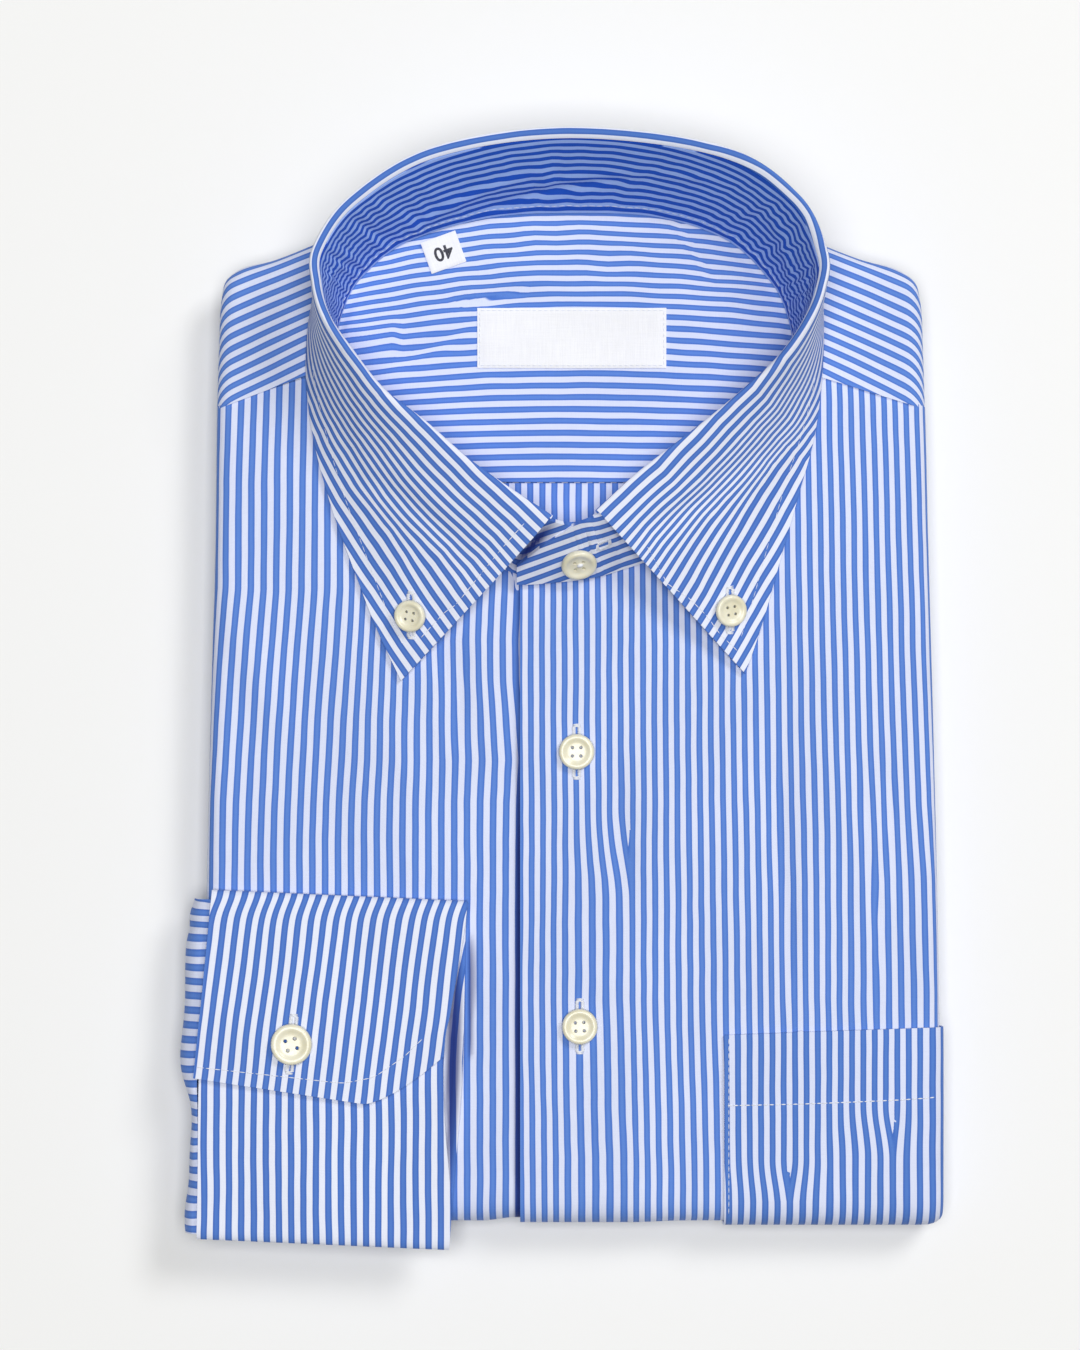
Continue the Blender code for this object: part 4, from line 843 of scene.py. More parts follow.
def weave_group():
    """Plain weave: fine crossing yarns, their slubs, and a slow unevenness of tone."""
    group, given, result = new_group(
        "plain_weave",
        [("Place", "NodeSocketVector", None), ("Yarns per metre", "NodeSocketFloat", 4200.0)],
        [("Height", "NodeSocketFloat"), ("Tone", "NodeSocketFloat")])
    wires, place = Wiring(group), given.outputs["Place"]
    across, down, _ = wires.put("ShaderNodeSeparateXYZ", place).outputs
    turn = wires.math("MULTIPLY", given.outputs["Yarns per metre"], math.pi)
    warp, weft = (wires.math("SINE", wires.math("MULTIPLY", way, turn)) for way in (across, down))
    cross = wires.math("MULTIPLY", warp, weft)
    warp_slubs = wires.stretched_noise(place, (2600.0, 130.0, 1.0), 3.0)
    weft_slubs = wires.stretched_noise(place, (110.0, 2600.0, 1.0), 3.0)
    slubs = wires.math("ADD", warp_slubs, wires.math("MULTIPLY", weft_slubs, 0.6))
    slow = wires.stretched_noise(place, (28.0, 16.0, 1.0))
    tone = wires.math("ADD", wires.remap(slubs, 0.45, 1.15, -0.045, 0.045, smooth=False),
                      wires.remap(slow, 0.3, 0.7, -0.03, 0.03, smooth=False))
    tone = wires.math("ADD", tone, wires.math("MULTIPLY", cross, 0.02))
    height = wires.math("ADD", wires.math("MULTIPLY", cross, 0.5), wires.math("MULTIPLY", slubs, 0.6))
    wires.feed(result, {"Height": height, "Tone": tone})
    return group


def stripe_group():
    """Bengal stripes: how blue the cloth is, and how near the middle of its blue stripe."""
    group, given, result = new_group(
        "bengal_stripes",
        [("Place", "NodeSocketVector", None), ("Repeat", "NodeSocketFloat", 0.0039),
         ("Blue share", "NodeSocketFloat", 0.52)],
        [("Blue", "NodeSocketFloat"), ("Middle", "NodeSocketFloat")])
    wires, place = Wiring(group), given.outputs["Place"]
    across = wires.put("ShaderNodeSeparateXYZ", place).outputs[0]
    wander = wires.stretched_noise(place, (60.0, 45.0, 1.0))
    wander = wires.remap(wander, 0.2, 0.8, -0.05, 0.05, smooth=False)
    turns = wires.math("ADD", wires.math("DIVIDE", across, given.outputs["Repeat"]), wander)
    from_middle = wires.math("ABSOLUTE", wires.math("SUBTRACT", wires.math("FRACT", turns), 0.5))
    off_middle = wires.math("MULTIPLY", from_middle, 2.0)
    edge = wires.math("SUBTRACT", off_middle, wires.math("SUBTRACT", 1.0, given.outputs["Blue share"]))
    wires.feed(result, {"Blue": wires.remap(edge, -0.05, 0.05),
                        "Middle": wires.remap(off_middle, 0.55, 0.92)})
    return group


def start_material(name, on_cut=False):
    """A material, its wiring, and where a point lies: on the piece, or on the flat cut of the cloth."""
    surface = bpy.data.materials.new(name)
    surface.use_nodes = True
    wires = Wiring(surface.node_tree)
    if on_cut:
        return surface, wires, wires.put("ShaderNodeUVMap").outputs[0]
    return surface, wires, wires.put("ShaderNodeTexCoord").outputs["Object"]


def coated(surface, wires, values):
    """The material, with these inputs of its shader set or joined."""
    wires.feed(surface.node_tree.nodes["Principled BSDF"], values)
    return surface


def shirting_material(name, weave, stripes, white, blue_middle, blue_edge):
    """Striped poplin, painted nearly black-blue as shadow where the cloth lies deep in a gap."""
    sizes = bpy.context.scene.shirt_cloth
    surface, wires, place = start_material(name, on_cut=True)
    cloth = wires.group(weave, {"Place": place})
    lines = wires.group(stripes, {"Place": place, "Repeat": sizes.stripe_repeat,
                                  "Blue share": sizes.blue_share})
    blue = wires.blend(lines["Middle"], blue_edge, blue_middle)
    toned = wires.feed(wires.put("ShaderNodeHueSaturation"), {
        "Color": wires.blend(lines["Blue"], white, blue),
        "Value": wires.math("ADD", cloth["Tone"], 1.0)})
    # painted shadow: the gap attribute darkens the cloth towards black-blue deep between layers
    gap = wires.put("ShaderNodeAttribute", attribute_name="painted_gap_shadow")
    return coated(surface, wires, {
        "Base Color": wires.blend(gap.outputs["Fac"], toned.outputs[0], sizes.gap_shadow_blue),
        "Roughness": wires.remap(cloth["Height"], -0.5, 1.0, 0.82, 0.70, smooth=False),
        "Normal": wires.bump(cloth["Height"], 0.35, 0.00012),
        "Specular IOR Level": 0.25, "Sheen Weight": 0.04, "Sheen Roughness": 0.45})


def thread_material(colour):
    """Twisted sewing thread, its ply read along each stitch."""
    surface, wires, place = start_material("sewing_thread")
    ply = wires.noise(place, 2600.0)
    return coated(surface, wires, {
        "Base Color": wires.blend(ply, [0.86 * c for c in colour], colour),
        "Normal": wires.bump(ply, 0.4, 0.00008), "Roughness": 0.6, "Sheen Weight": 0.2})


def button_material(colour):
    """Cream button resin: faint clouding and a soft polish."""
    surface, wires, place = start_material("button_resin")
    cloud = wires.remap(wires.noise(place, 210.0, 4.0), 0.3, 0.7)
    fleck = wires.noise(place, 1500.0)
    deep = [c * s for c, s in zip(colour, (0.90, 0.88, 0.80))]
    return coated(surface, wires, {
        "Base Color": wires.blend(cloud, deep, colour),
        "Roughness": wires.remap(fleck, 0.2, 0.8, 0.24, 0.38, smooth=False),
        "Normal": wires.bump(fleck, 0.15, 0.00005), "Coat Weight": 0.25, "Coat Roughness": 0.2,
        "Subsurface Weight": 0.08, "Subsurface Radius": (0.0012, 0.0010, 0.0006)})


def label_material(weave):
    """White woven tape with a satin face."""
    surface, wires, place = start_material("woven_tape", on_cut=True)
    cloth = wires.group(weave, {"Place": place, "Yarns per metre": 5200.0})
    toned = wires.blend(wires.remap(cloth["Tone"], -0.06, 0.06), (0.83, 0.83, 0.845), (0.93, 0.93, 0.935))
    return coated(surface, wires, {
        "Base Color": toned,
        "Roughness": wires.remap(cloth["Height"], -0.5, 1.0, 0.62, 0.45, smooth=False),
        "Normal": wires.bump(cloth["Height"], 0.4, 0.00012), "Sheen Weight": 0.2})


def ink_material():
    """Dark ink, a little worn."""
    surface, wires, place = start_material("printed_ink")
    worn = wires.remap(wires.noise(place, 1800.0, 3.0), 0.3, 0.8)
    return coated(surface, wires, {
        "Base Color": wires.blend(worn, (0.02, 0.022, 0.035), (0.07, 0.07, 0.09)), "Roughness": 0.7})


def floor_material(colour):
    """Matt white paper sweep with the faintest mottle."""
    surface, wires, place = start_material("white_sweep")
    mottle = wires.noise(place, 9.0, 3.0)
    return coated(surface, wires, {
        "Base Color": wires.blend(mottle, [c * 0.992 for c in colour], colour),
        "Roughness": 0.95, "Specular IOR Level": 0.1})


FINISHES = {}


def finishes():
    """All materials, made once."""
    if not FINISHES:
        sizes, trim = bpy.context.scene.shirt_cloth, bpy.context.scene.shirt_trim
        weave, stripes = weave_group(), stripe_group()
        for key, name, *colours in (
                ("shirting", "striped_poplin", sizes.ground_white, sizes.blue_middle, sizes.blue_edge),
                ("double", "striped_poplin_double", sizes.ground_white, sizes.double_blue,
                 sizes.double_blue_edge),
                ("crisp", "striped_poplin_stiffened", sizes.crisp_white, sizes.crisp_blue,
                 sizes.crisp_blue_edge),
                # painted shade: a darker, bluer copy of the poplin for the inside of the stand, which lies in
                # shade
                ("inside", "striped_poplin_shaded_inside_stand", sizes.stand_shaded_white, sizes.stand_shaded_blue,
                 sizes.stand_shaded_blue)):
            FINISHES[key] = shirting_material(name, weave, stripes, *colours)
        FINISHES.update(thread=thread_material(trim.thread_colour),
                        button=button_material(trim.button_colour),
                        label=label_material(weave), ink=ink_material())
    return FINISHES


# ---------------------------------------------------------------- fronts and pocket

def front_grid(hand, place, along):
    """Shaped points of a front with its fine creases, and where they lie among the stripes."""
    place, along = place[None, :], along[:, None]
    points, cloth_x = front_surface(hand, place, along)
    x, y = points[..., 0], points[..., 1]
    on_top = (along <= 1) * fade(place, 0.94, 1.0) * fade(along, 0.97, 1.0)
    height, drawn = creases(FINE_CREASES, x, y)
    broad = swell("front_left" if hand > 0 else "front_right", x, y)
    height = height + broad + swell("front_fine", x, y * 0.6)
    points[..., 2] += height * on_top - SEAM_TUCK * fade(along, 0.002, 0.02) * (place <= 1)
    if hand < 0:
        trough = np.exp(-((x - PLACKET_EDGE + TROUGH_OFF) / TROUGH_HALF) ** 2)
        points[..., 2] -= TROUGH_DEPTH * trough * on_top
        lean, stripe = lean_at(LEFT_LEAN, LEFT_LEAN_X, x, y), LEFT_STRIPE
    else:
        lean = lean_at(RIGHT_LEAN, RIGHT_LEAN_X, x, y) + fork_shift(STRIPE_FORKS, x, y)
        stripe = RIGHT_STRIPE
    return points, cloth_x - lean + drawn * on_top, run_down(points, points.shape[1] // 2), stripe


def among_stripes(across, down, white_middle, repeat):
    """Pattern places, set so that a white stripe's middle falls where it is asked for."""
    base = bpy.context.scene.shirt_cloth.stripe_repeat / MM
    return np.stack(((across - white_middle) * base / repeat + 0.5 * base, down), axis=-1)


def gap_shade(x, y):
    """How much painted shadow darkens the lower front in the gaps beside the placket and beside the cuff."""
    beside = PLACKET_EDGE - x
    off = np.maximum(beside - PLACKET_SHADE_START, 0) / read(PLACKET_SHADE_WIDTH, y)
    shade = read(PLACKET_SHADE_DEPTH, y) * np.exp(-off ** 4) * (beside > -0.5)
    return np.maximum(shade, cuff_shade(x, y))


def cuff_shade(x, y):
    """How much painted shadow darkens a point in the narrow gaps along the cuff's open side."""
    shade = np.zeros_like(x)
    for from_x, from_y, to_x, to_y, half_width, depth in CUFF_GAP_SHADOWS:
        t = np.clip((y - from_y) / (to_y - from_y), 0, 1)
        off = x - (from_x + (to_x - from_x) * t)
        taper = np.maximum(np.sin(math.pi * t), 0.0)
        shade = np.maximum(shade, depth * np.exp(-(off / (half_width * taper + 1e-3)) ** 4) * taper ** 0.3)
    return shade


def make_fronts():
    """Both fronts, with finer rows across the lower one where the placket's edge lies over it."""
    sizes = bpy.context.scene.shirt_cloth
    along = graded((0, 1, 0.0075), (1, 2, 0.055), (2, 3, 0.04))
    for name, node, hand in (("cloth_front_left", "front_left", 1), ("cloth_front_right", "front_right", -1)):
        place = graded((0, 0.06, 0.006), (0.06, 1, 0.0105), (1, 2, 0.09), (2, 3, 0.5))
        lay = {"side": hand}
        if hand < 0:
            flat_width = side_x(np.array(REST_POINT_Y), hand) + EDGE_DEPTH - LAP_EDGE
            beside = (PLACKET_EDGE - LAP_EDGE) / flat_width
            near = spaced(beside - 0.006, beside + 0.03, 0.003)
            place = np.concatenate((place[place < near[0]], near, place[place > near[-1]]))
        points, across, down, stripe = front_grid(hand, place, along)
        # painted shadow on the lower front beside the placket's edge and beside the cuff
        if hand < 0:
            lay["shade"] = gap_shade(points[..., 0], points[..., 1]) * (along[:, None] < 1.5)
        else:
            lay["forks"] = STRIPE_FORKS
        make_cloth(name, node, points, among_stripes(across, down, *stripe), pair(across, down),
                   sizes.body_wall, "shirting", "folded", ["folded_layers"], **lay)


def pocket_grid(lift):
    """Pocket cloth on the left front, lifted off it and folded round the side and the bottom with it."""
    flat_end = side_x(np.array(0.0), 1) - EDGE_DEPTH
    edge_place = (POCKET_EDGE - PLACKET_EDGE) / (flat_end - PLACKET_EDGE)
    place = graded((edge_place, 1, 0.009), (1, 1.833, 0.08))
    down = graded((0, 1, 0.022), (1, 1.64, 0.05))[:, None]
    at_mouth = front_surface(1, np.minimum(place, 1.9), np.full(len(place), 0.75))[0]
    upper_y = front_top_y(front_surface(1, place, np.zeros(len(place)))[0][:, 0])
    mouth_y = POCKET_TOP + POCKET_TOP_SLOPE * (at_mouth[:, 0] - POCKET_EDGE)
    mouth = ((upper_y - mouth_y) / (upper_y - FOLD_DEPTH))[None, :]
    along = np.where(down <= 1, mouth + (1 - mouth) * down, down)
    points, cloth_x = front_surface(1, np.broadcast_to(place, along.shape), along, lift)
    return points, cloth_x, down


def make_pocket():
    """The chest pocket, with the short creases into which two stripes dive."""
    points, cloth_x, down = pocket_grid(POCKET_WALL + SEAM_GAP)
    x, y = points[..., 0], points[..., 1]
    height, drawn = creases(POCKET_CREASES, x, y)
    free = ramp(x, POCKET_EDGE, POCKET_EDGE + POCKET_SEWN) * (down <= 1)
    points[..., 2] += (height + swell("pocket", x, y)) * free
    run = run_down(points, 10)
    low_x, high_x, middle_y, slant = POCKET_LEAN
    across = cloth_x + POCKET_PULL * drawn * free + slant * (y - middle_y) * fade(x, low_x, high_x) \
        - fork_shift(POCKET_FORKS, x, y)
    make_cloth("cloth_pocket", "pocket", points, among_stripes(across, run, *POCKET_STRIPE),
               pair(cloth_x, run), bpy.context.scene.shirt_cloth.pocket_wall, "double", "laid",
               ["cloth_front_left"], side=1, forks=POCKET_FORKS)


# ---------------------------------------------------------------- yokes and back

def yoke_grid(stations, along):
    """Outer yoke: flat on top, round the top edge of the pack and in beneath it."""
    def edge_at(places):
        return YOKE.at(places)[:, 2:4]

    row = YOKE.at(stations)
    neck, edge, turned_in = row[:, 0:2], row[:, 2:4], row[:, 4:5]
    run = unit(edge_at(stations + 0.02) - edge_at(stations - 0.02))
    at_shoulder = ramp(np.abs(stations), 0.7, 1.0)[:, None]
    outwards = np.stack((-run[:, 1], run[:, 0]), axis=-1)
    out = unit(outwards * (1 - at_shoulder) + unit(edge - neck) * at_shoulder)
    flat_end = edge - out * EDGE_DEPTH
    inward = unit(unit(np.array(PACK_MIDDLE) - flat_end) * (1 - at_shoulder) - out * at_shoulder)
    points = np.zeros((len(along), len(stations), 3))
    spread = np.zeros((len(along), len(stations), 2))
    for k, step in enumerate(along):
        turned = min(max(step - 1, 0.0), 1.0)
        turn = math.radians(90 - 180 * turned)
        if step <= 1:
            plan, z = neck + (flat_end - neck) * step, PACK_HEIGHT
        elif step <= 2:
            plan = flat_end + out * EDGE_DEPTH * math.cos(turn)
            z = MID_Z + EDGE_MIDDLE + EDGE_HALF * math.sin(turn)
        else:
            plan, z = flat_end + inward * turned_in * (step - 2), MID_Z + GROOVE_HALF
        points[k, :, :2] = plan
        points[k, :, 2] = z
        spread[k] = plan if step <= 1 else (flat_end + out * math.pi * EDGE_DEPTH * turned
                                            - inward * turned_in * max(step - 2, 0.0))
    return points, spread


def make_outer_yoke():
    """The outer yoke, its stripes slanting down both shoulders."""
    along = np.concatenate((graded((0, 1, 0.045), (1, 2, 0.07)), (2.34, 2.67, 3.0)))
    stations = spaced(-1, 1, 0.0125)
    points, spread = yoke_grid(stations, along)
    x, y = spread[..., 0], spread[..., 1]
    on_top = along[:, None] <= 1
    at_seam = ramp(np.abs(stations[None, :]), 0.9, 0.99)
    relief = (swell("yoke_outer", x, y) - YOKE_SINK) * (1 - at_seam)
    points[..., 2] += on_top * fade(along[:, None], 0.8, 1.0) * relief + YOKE_SEAM_RISE * at_seam * on_top
    aside = x - PACK_MIDDLE[0]
    slope = math.tan(SHOULDER_SLOPE) * (1 - SHOULDER_BEND * (y - SHOULDER_LEVEL_Y))
    down = slope * (np.sqrt(aside ** 2 + SHOULDER_ROUND ** 2) - SHOULDER_PIVOT)
    turn = SHOULDER_TURN * np.maximum(0.0, np.abs(aside) - SHOULDER_TURN_START) ** 2
    across = (y + down + turn) * math.cos(SHOULDER_SLOPE) + swell("yoke_outer_stripes", x, y)
    make_cloth("cloth_yoke_outer", "yoke_outer", points, among_stripes(across, x, *YOKE_STRIPE),
               spread, bpy.context.scene.shirt_cloth.body_wall, "shirting", "folded", ["folded_layers"])


def inside_z(x, y):
    """Upper face of the inner yoke and the back, dished inside the neck."""
    across = (x - NECK_CENTRE[0]) / NECK_REACH[0]
    along = (y - NECK_CENTRE[1]) / NECK_REACH[1]
    return INSIDE_Z - DISH_DEPTH * np.maximum(0.0, 1 - across * across - along * along)


def seam_at(stations):
    """Places along the neck seam."""
    return COLLAR.at(stations)[..., 0:3]


def seam_station(y, first, last):
    """Station between first and last at which the neck seam is at this height."""
    places = np.linspace(first, last, 120)
    return float(places[int(np.argmin(np.abs(seam_at(places)[:, 1] - y)))])


def inside_relief(x, y, edge_share):
    """How far the inner yoke's creases raise it, and how far they draw its stripes."""
    height, drawn = creases(INSIDE_CREASES, x, y)
    return edge_share * (height + swell("yoke_inner", x, y)), drawn * edge_share


def inner_yoke_level(x, y):
    """Level of the inner yoke's stripes: arched, stepped at two creases and closer towards the top."""
    share = np.clip((y - ARCH_START) / ARCH_RUN, 0.0, 1.0)
    aside = x - NECK_CENTRE[0]
    arch = np.where(aside < 0, *ARCH_RISE) * share * (aside / ARCH_HALF) ** 2 \
        + LOW_ARCH_RISE * (aside / LOW_ARCH_HALF) ** 2 * (1 - share)
    level = y + arch + swell("yoke_inner_stripes", x * 1.2, y) * share
    step_x, step_y, slant, step = YOKE_STEP
    level = level + step * ramp(x - step_x - slant * (step_y - y), -1.2, 1.2) * ramp(y, 296, 301)
    from_x, to_x, pinch_y, half_height, drop = YOKE_PINCH
    return level - drop * fade(x, to_x, from_x) * np.exp(-((y - pinch_y) / half_height) ** 2)


def make_inside_of_neck():
    """The inner yoke, and the strip of the back that shows in front of it."""
    wall = bpy.context.scene.shirt_cloth.body_wall
    first = seam_station(INNER_YOKE_SIDE_Y, 2, 8)
    last = seam_station(INNER_YOKE_SIDE_Y, 16, 21)
    left_x = seam_at(seam_station(BACK_SEAM_Y, 1, 6))[0]
    right_x = seam_at(seam_station(BACK_SEAM_Y, 17, 21))[0]
    across, up = spaced(0, 1, 0.0095)[None, :], spaced(0, 1, 0.0165)[:, None]
    upper = seam_at(first + (last - first) * across[0])[:, :2]
    upper = upper - unit(np.array(NECK_CENTRE) - upper) * YOKE_UNDER_STAND
    lower_x = left_x + (right_x - left_x) * across
    x = lower_x + (upper[None, :, 0] - lower_x) * up
    y = BACK_SEAM_Y + SEAM_GAP + (upper[None, :, 1] - BACK_SEAM_Y - SEAM_GAP) * up
    inside = between(up, 0.0, 0.12, 0.9, 1.0) * between(across, 0, 0.06, 0.94, 1)
    height, drawn = inside_relief(x, y, inside)
    rim = np.linalg.norm((x - upper[None, :, 0], y - upper[None, :, 1]), axis=0)
    dip = SEAM_DIP * np.exp(-((rim - SEAM_DIP_OFF) / SEAM_DIP_HALF) ** 2)
    points = np.stack((x, y, inside_z(x, y) + height - dip), axis=-1)
    level = inner_yoke_level(x, y) + drawn
    close_y, closer, close_run = YOKE_CLOSER
    above = level - close_y
    packed = level + closer * (above + np.sqrt(above ** 2 + close_run ** 2))
    make_cloth("cloth_yoke_inner", "yoke_inner", points, among_stripes(packed, x, *INNER_YOKE_STRIPE),
               pair(x, y), wall, "shirting", "laid", ["folded_layers"])

    left_end = seam_station(BACK_FRONT_Y, 0, 4)
    right_end = seam_station(BACK_FRONT_Y, 18, 22)
    across, up = spaced(0, 1, 0.022)[None, :], spaced(0, 1, 0.09)[:, None]
    stations = np.where(across[0] < 0.5, left_end * (1 - 2 * across[0]),
                        LAST_STATION + (right_end - LAST_STATION) * (2 * across[0] - 1))
    lower = seam_at(stations)[None, :, :2] + np.array((0, BACK_FRONT_CLEAR))
    upper_x = left_x + BACK_FRONT_CLEAR + (right_x - left_x - 2 * BACK_FRONT_CLEAR) * across
    x = lower[..., 0] + (upper_x - lower[..., 0]) * up
    y = lower[..., 1] + (BACK_SEAM_Y - lower[..., 1]) * up
    points = np.stack((x, y, inside_z(x, y) - BACK_DROP), axis=-1)
    make_cloth("cloth_back", "back_panel", points, among_stripes(x, y, *BACK_STRIPE), pair(x, y), wall,
               "shirting", "laid", ["folded_layers"])


# ---------------------------------------------------------------- collar

def leaf_frames(stations):
    """Points and directions of the collar's sections."""
    row = COLLAR.at(stations)
    seam, crease, edge, lie = row[:, 0:3], row[:, 3:6], row[:, 6:9], np.clip(row[:, 9:10], 0, 1)
    run = COLLAR.at(np.minimum(stations + 0.05, LAST_STATION))[:, 3:6] \
        - COLLAR.at(np.maximum(stations - 0.05, 0))[:, 3:6]
    run = unit(run * np.array((1, 1, 0)))
    out = np.stack((-run[:, 1], run[:, 0], np.zeros(len(run))), axis=-1)
    inner = crease - out * ROLL_HALF
    up = unit(inner - seam)
    return seam, inner - up * ROLL_RISE, up, crease, out, edge, lie


def leaf_surface(stations, downs):
    """Visible face of the leaf: 0..1 up and over the roll, 1..2 from the crease to the edge."""
    _, top, up, crease, out, edge, lie = leaf_frames(stations)
    swollen = LEAF_SWELL[0] + LEAF_SWELL[1] * lie
    flat = unit((crease - edge) * np.array((1, 1, 0.0)) + 1e-6)
    arrive = edge + flat * LEAF_RUN_OUT * lie
    arrive = arrive + np.array((0, 0, 1.0)) * (LEAF_HANG * (1 - lie) + LEAF_LIFT)
    points = np.zeros((len(downs), len(stations), 3))
    for k, down in enumerate(downs):
        if down <= 1:
            points[k] = bezier(top + up * 2 * SEAM_GAP, top + up * ROLL_START, crease - out * ROLL_START / 2,
                               crease, down)
        else:
            points[k] = bezier(crease, crease + out * swollen, arrive, edge, down - 1)
    return points


def leaf_counts(stations, down_cloth):
    """How many stripes lie between the crease and each point of the leaf."""
    table_stations, *columns = np.transpose(LEAF_STRIPES)
    counts = np.zeros_like(down_cloth)
    for k, station in enumerate(stations):
        lies = [np.interp(station, table_stations, column) for column in columns]
        down = down_cloth[:, k]
        beyond = np.minimum(down - lies[0], 0) + np.maximum(down - lies[-1], 0)
        counts[:, k] = np.interp(down, lies, LEAF_COUNTS) + beyond / LEAF_REPEAT
    return counts


def stand_rows():
    """Seam and top edge of the stand at each station, its two overlapping ends included."""
    seam, top = leaf_frames(np.arange(LAST_STATION + 1.0))[:2]
    body = np.concatenate((seam, top), axis=1)
    rows = np.concatenate((np.array(STAND_UNDER_END), body, np.array(STAND_TAB_END)))
    stations = np.arange(-len(STAND_UNDER_END), len(rows) - len(STAND_UNDER_END))
    return np.column_stack((stations, rows))


STAND = Curve(stand_rows())
STAND_FIRST, STAND_LAST = STAND.rows[0, 0], STAND.rows[-1, 0]


def stand_surface(stations, ups):
    """Inner face of the stand, from the neck seam (0) to its top edge (1)."""
    row = STAND.at(stations)
    low, high = row[:, 0:3], row[:, 3:6]
    ups = np.asarray(ups)[:, None, None]
    return low[None] * (1 - ups) + high[None] * ups


def gather_relief(stations, ups):
    """Uneven small gathers where the stand is eased round the neck."""
    s, u = np.meshgrid(stations, ups)
    height = np.zeros_like(s)
    for first, last, depth in STAND_GATHERS:
        share = between(s, first, first + 1.2, last - 1.2, last)
        wave = np.sin(s * 13.0 + 1.8 * np.sin(2.3 * s) + 2.2 * u) \
            + 0.8 * np.sin(s * 24.5 + 3.1 * u + 0.7) \
            + 0.5 * np.sin(s * 37.0 - 4.0 * u + 1.9 * np.sin(3.1 * s))
        height += 0.5 * depth * share * wave * (0.35 + 0.65 * np.sin(math.pi * np.clip(u, 0, 1)) ** 0.5)
    for from_s, from_u, to_s, to_u, half_width, rise in STAND_SLANTS:
        t = np.clip((s - from_s) / (to_s - from_s), 0, 1)
        off = (u - (from_u + (to_u - from_u) * t)) / half_width
        height += rise * np.sin(math.pi * t) * np.exp(-off * off)
    return height * between(u, 0.0, 0.10, 0.85, 1.0)


def make_stand():
    """The collar's band, with gathers round the neck and its ends over each other at the front."""
    stations, ups = spaced(STAND_FIRST, STAND_LAST, 0.05), spaced(0, 1, 0.036)
    points = stand_surface(stations, ups)
    normals = normals_of(points)
    half_up = len(ups) // 2
    inward = np.sign(-normals[half_up, len(stations) // 2, 1])
    relief = gather_relief(stations, ups)
    points = points + normals * inward * relief[..., None] * STAND_RELIEF
    along = run_across(points, half_up)
    row = STAND.at(stations)
    heights = np.linalg.norm(row[:, 3:6] - row[:, 0:3], axis=1)
    up_cloth = ups[:, None] * heights[None, :]
    level = up_cloth + STAND_STRIPE_RELIEF * relief + swell("stand_stripes", along, up_cloth * 2)
    level = level + STAND_CROWDING * (up_cloth / heights.mean()) ** 2 * heights.mean()
    x, y = points[..., 0], points[..., 1]
    at_front = np.maximum(ramp(stations, LAST_STATION - 0.3, LAST_STATION + 0.7), fade(stations, 0.3, 1.0))
    middle_x, middle_y = STAND_FRONT_MIDDLE
    slanted = (y - middle_y) * math.cos(STAND_FRONT_SLANT) - (x - middle_x) * math.sin(STAND_FRONT_SLANT)
    slanted = slanted * STAND_REPEAT / STAND_FRONT_REPEAT
    meet = int(np.argmin(np.abs(stations - LAST_STATION - 0.2)))
    slanted = slanted + (level - slanted)[half_up, meet]
    pattern = among_stripes(level + (slanted - level) * at_front[None, :], along, STAND_WHITE, STAND_REPEAT)
    # painted shadow on the stand's front beside the ends of the leaf
    shade = np.clip(creases(STAND_GAP_SHADOWS, x, y)[0], 0, 1) * (at_front[None, :] > 0)
    # the inside of the stand takes the copy of the poplin with painted shade, its front faces the crisp one
    cloth = make_cloth("cloth_collar_stand", "collar_stand", points, pattern, pair(up_cloth, along),
                       STAND_WALL, "inside", "folded", COLLAR_RESTS_ON, shade=shade)
    cloth.data.materials.append(finishes()["crisp"])
    for face in cloth.data.polygons:
        if face.center.y < (STAND_FRONT_TOP - REST_POINT_Y) * MM:
            face.material_index = 1


def make_leaf():
    """The collar's leaf, rolled over the top of the band and down to its points."""
    stations = spaced(0, LAST_STATION, 0.07)
    downs = graded((0, 1, 0.1), (1, 2, 0.026))
    points = leaf_surface(stations, downs)
    x, y = points[..., 0], points[..., 1]
    lie = np.clip(COLLAR.at(stations)[:, 9], 0, 1)[None, :]
    body = between(downs[:, None], 1.05, 1.25, 1.93, 2.0)
    edges = between(stations[None, :], 0, 0.5, LAST_STATION - 0.5, LAST_STATION)
    height = creases(LEAF_CREASES, x, y)[0] * lie * body * (0.35 + 0.65 * edges)
    height = height + swell("leaf", x, y) * body
    points[..., 2] += np.where(lie > 0.02, height, 0.0) * ramp(lie, 0.0, 0.3)
    crease_row = int(np.argmin(np.abs(downs - 1)))
    steps = np.linalg.norm(np.diff(points, axis=0), axis=-1)
    down_cloth = np.concatenate((np.zeros((1, len(stations))), np.cumsum(steps, axis=0)))
    down_cloth = down_cloth - down_cloth[crease_row]
    along = run_across(points, crease_row)
    pattern = among_stripes(leaf_counts(stations, down_cloth) * LEAF_REPEAT, along, 0.0, LEAF_REPEAT)
    make_cloth("cloth_collar_leaf", "collar_leaf", points, pattern, pair(down_cloth, along * LEAF_LENGTHENED),
               LEAF_WALL, "crisp", "folded", COLLAR_RESTS_ON)


# ---------------------------------------------------------------- cuff and sleeve end

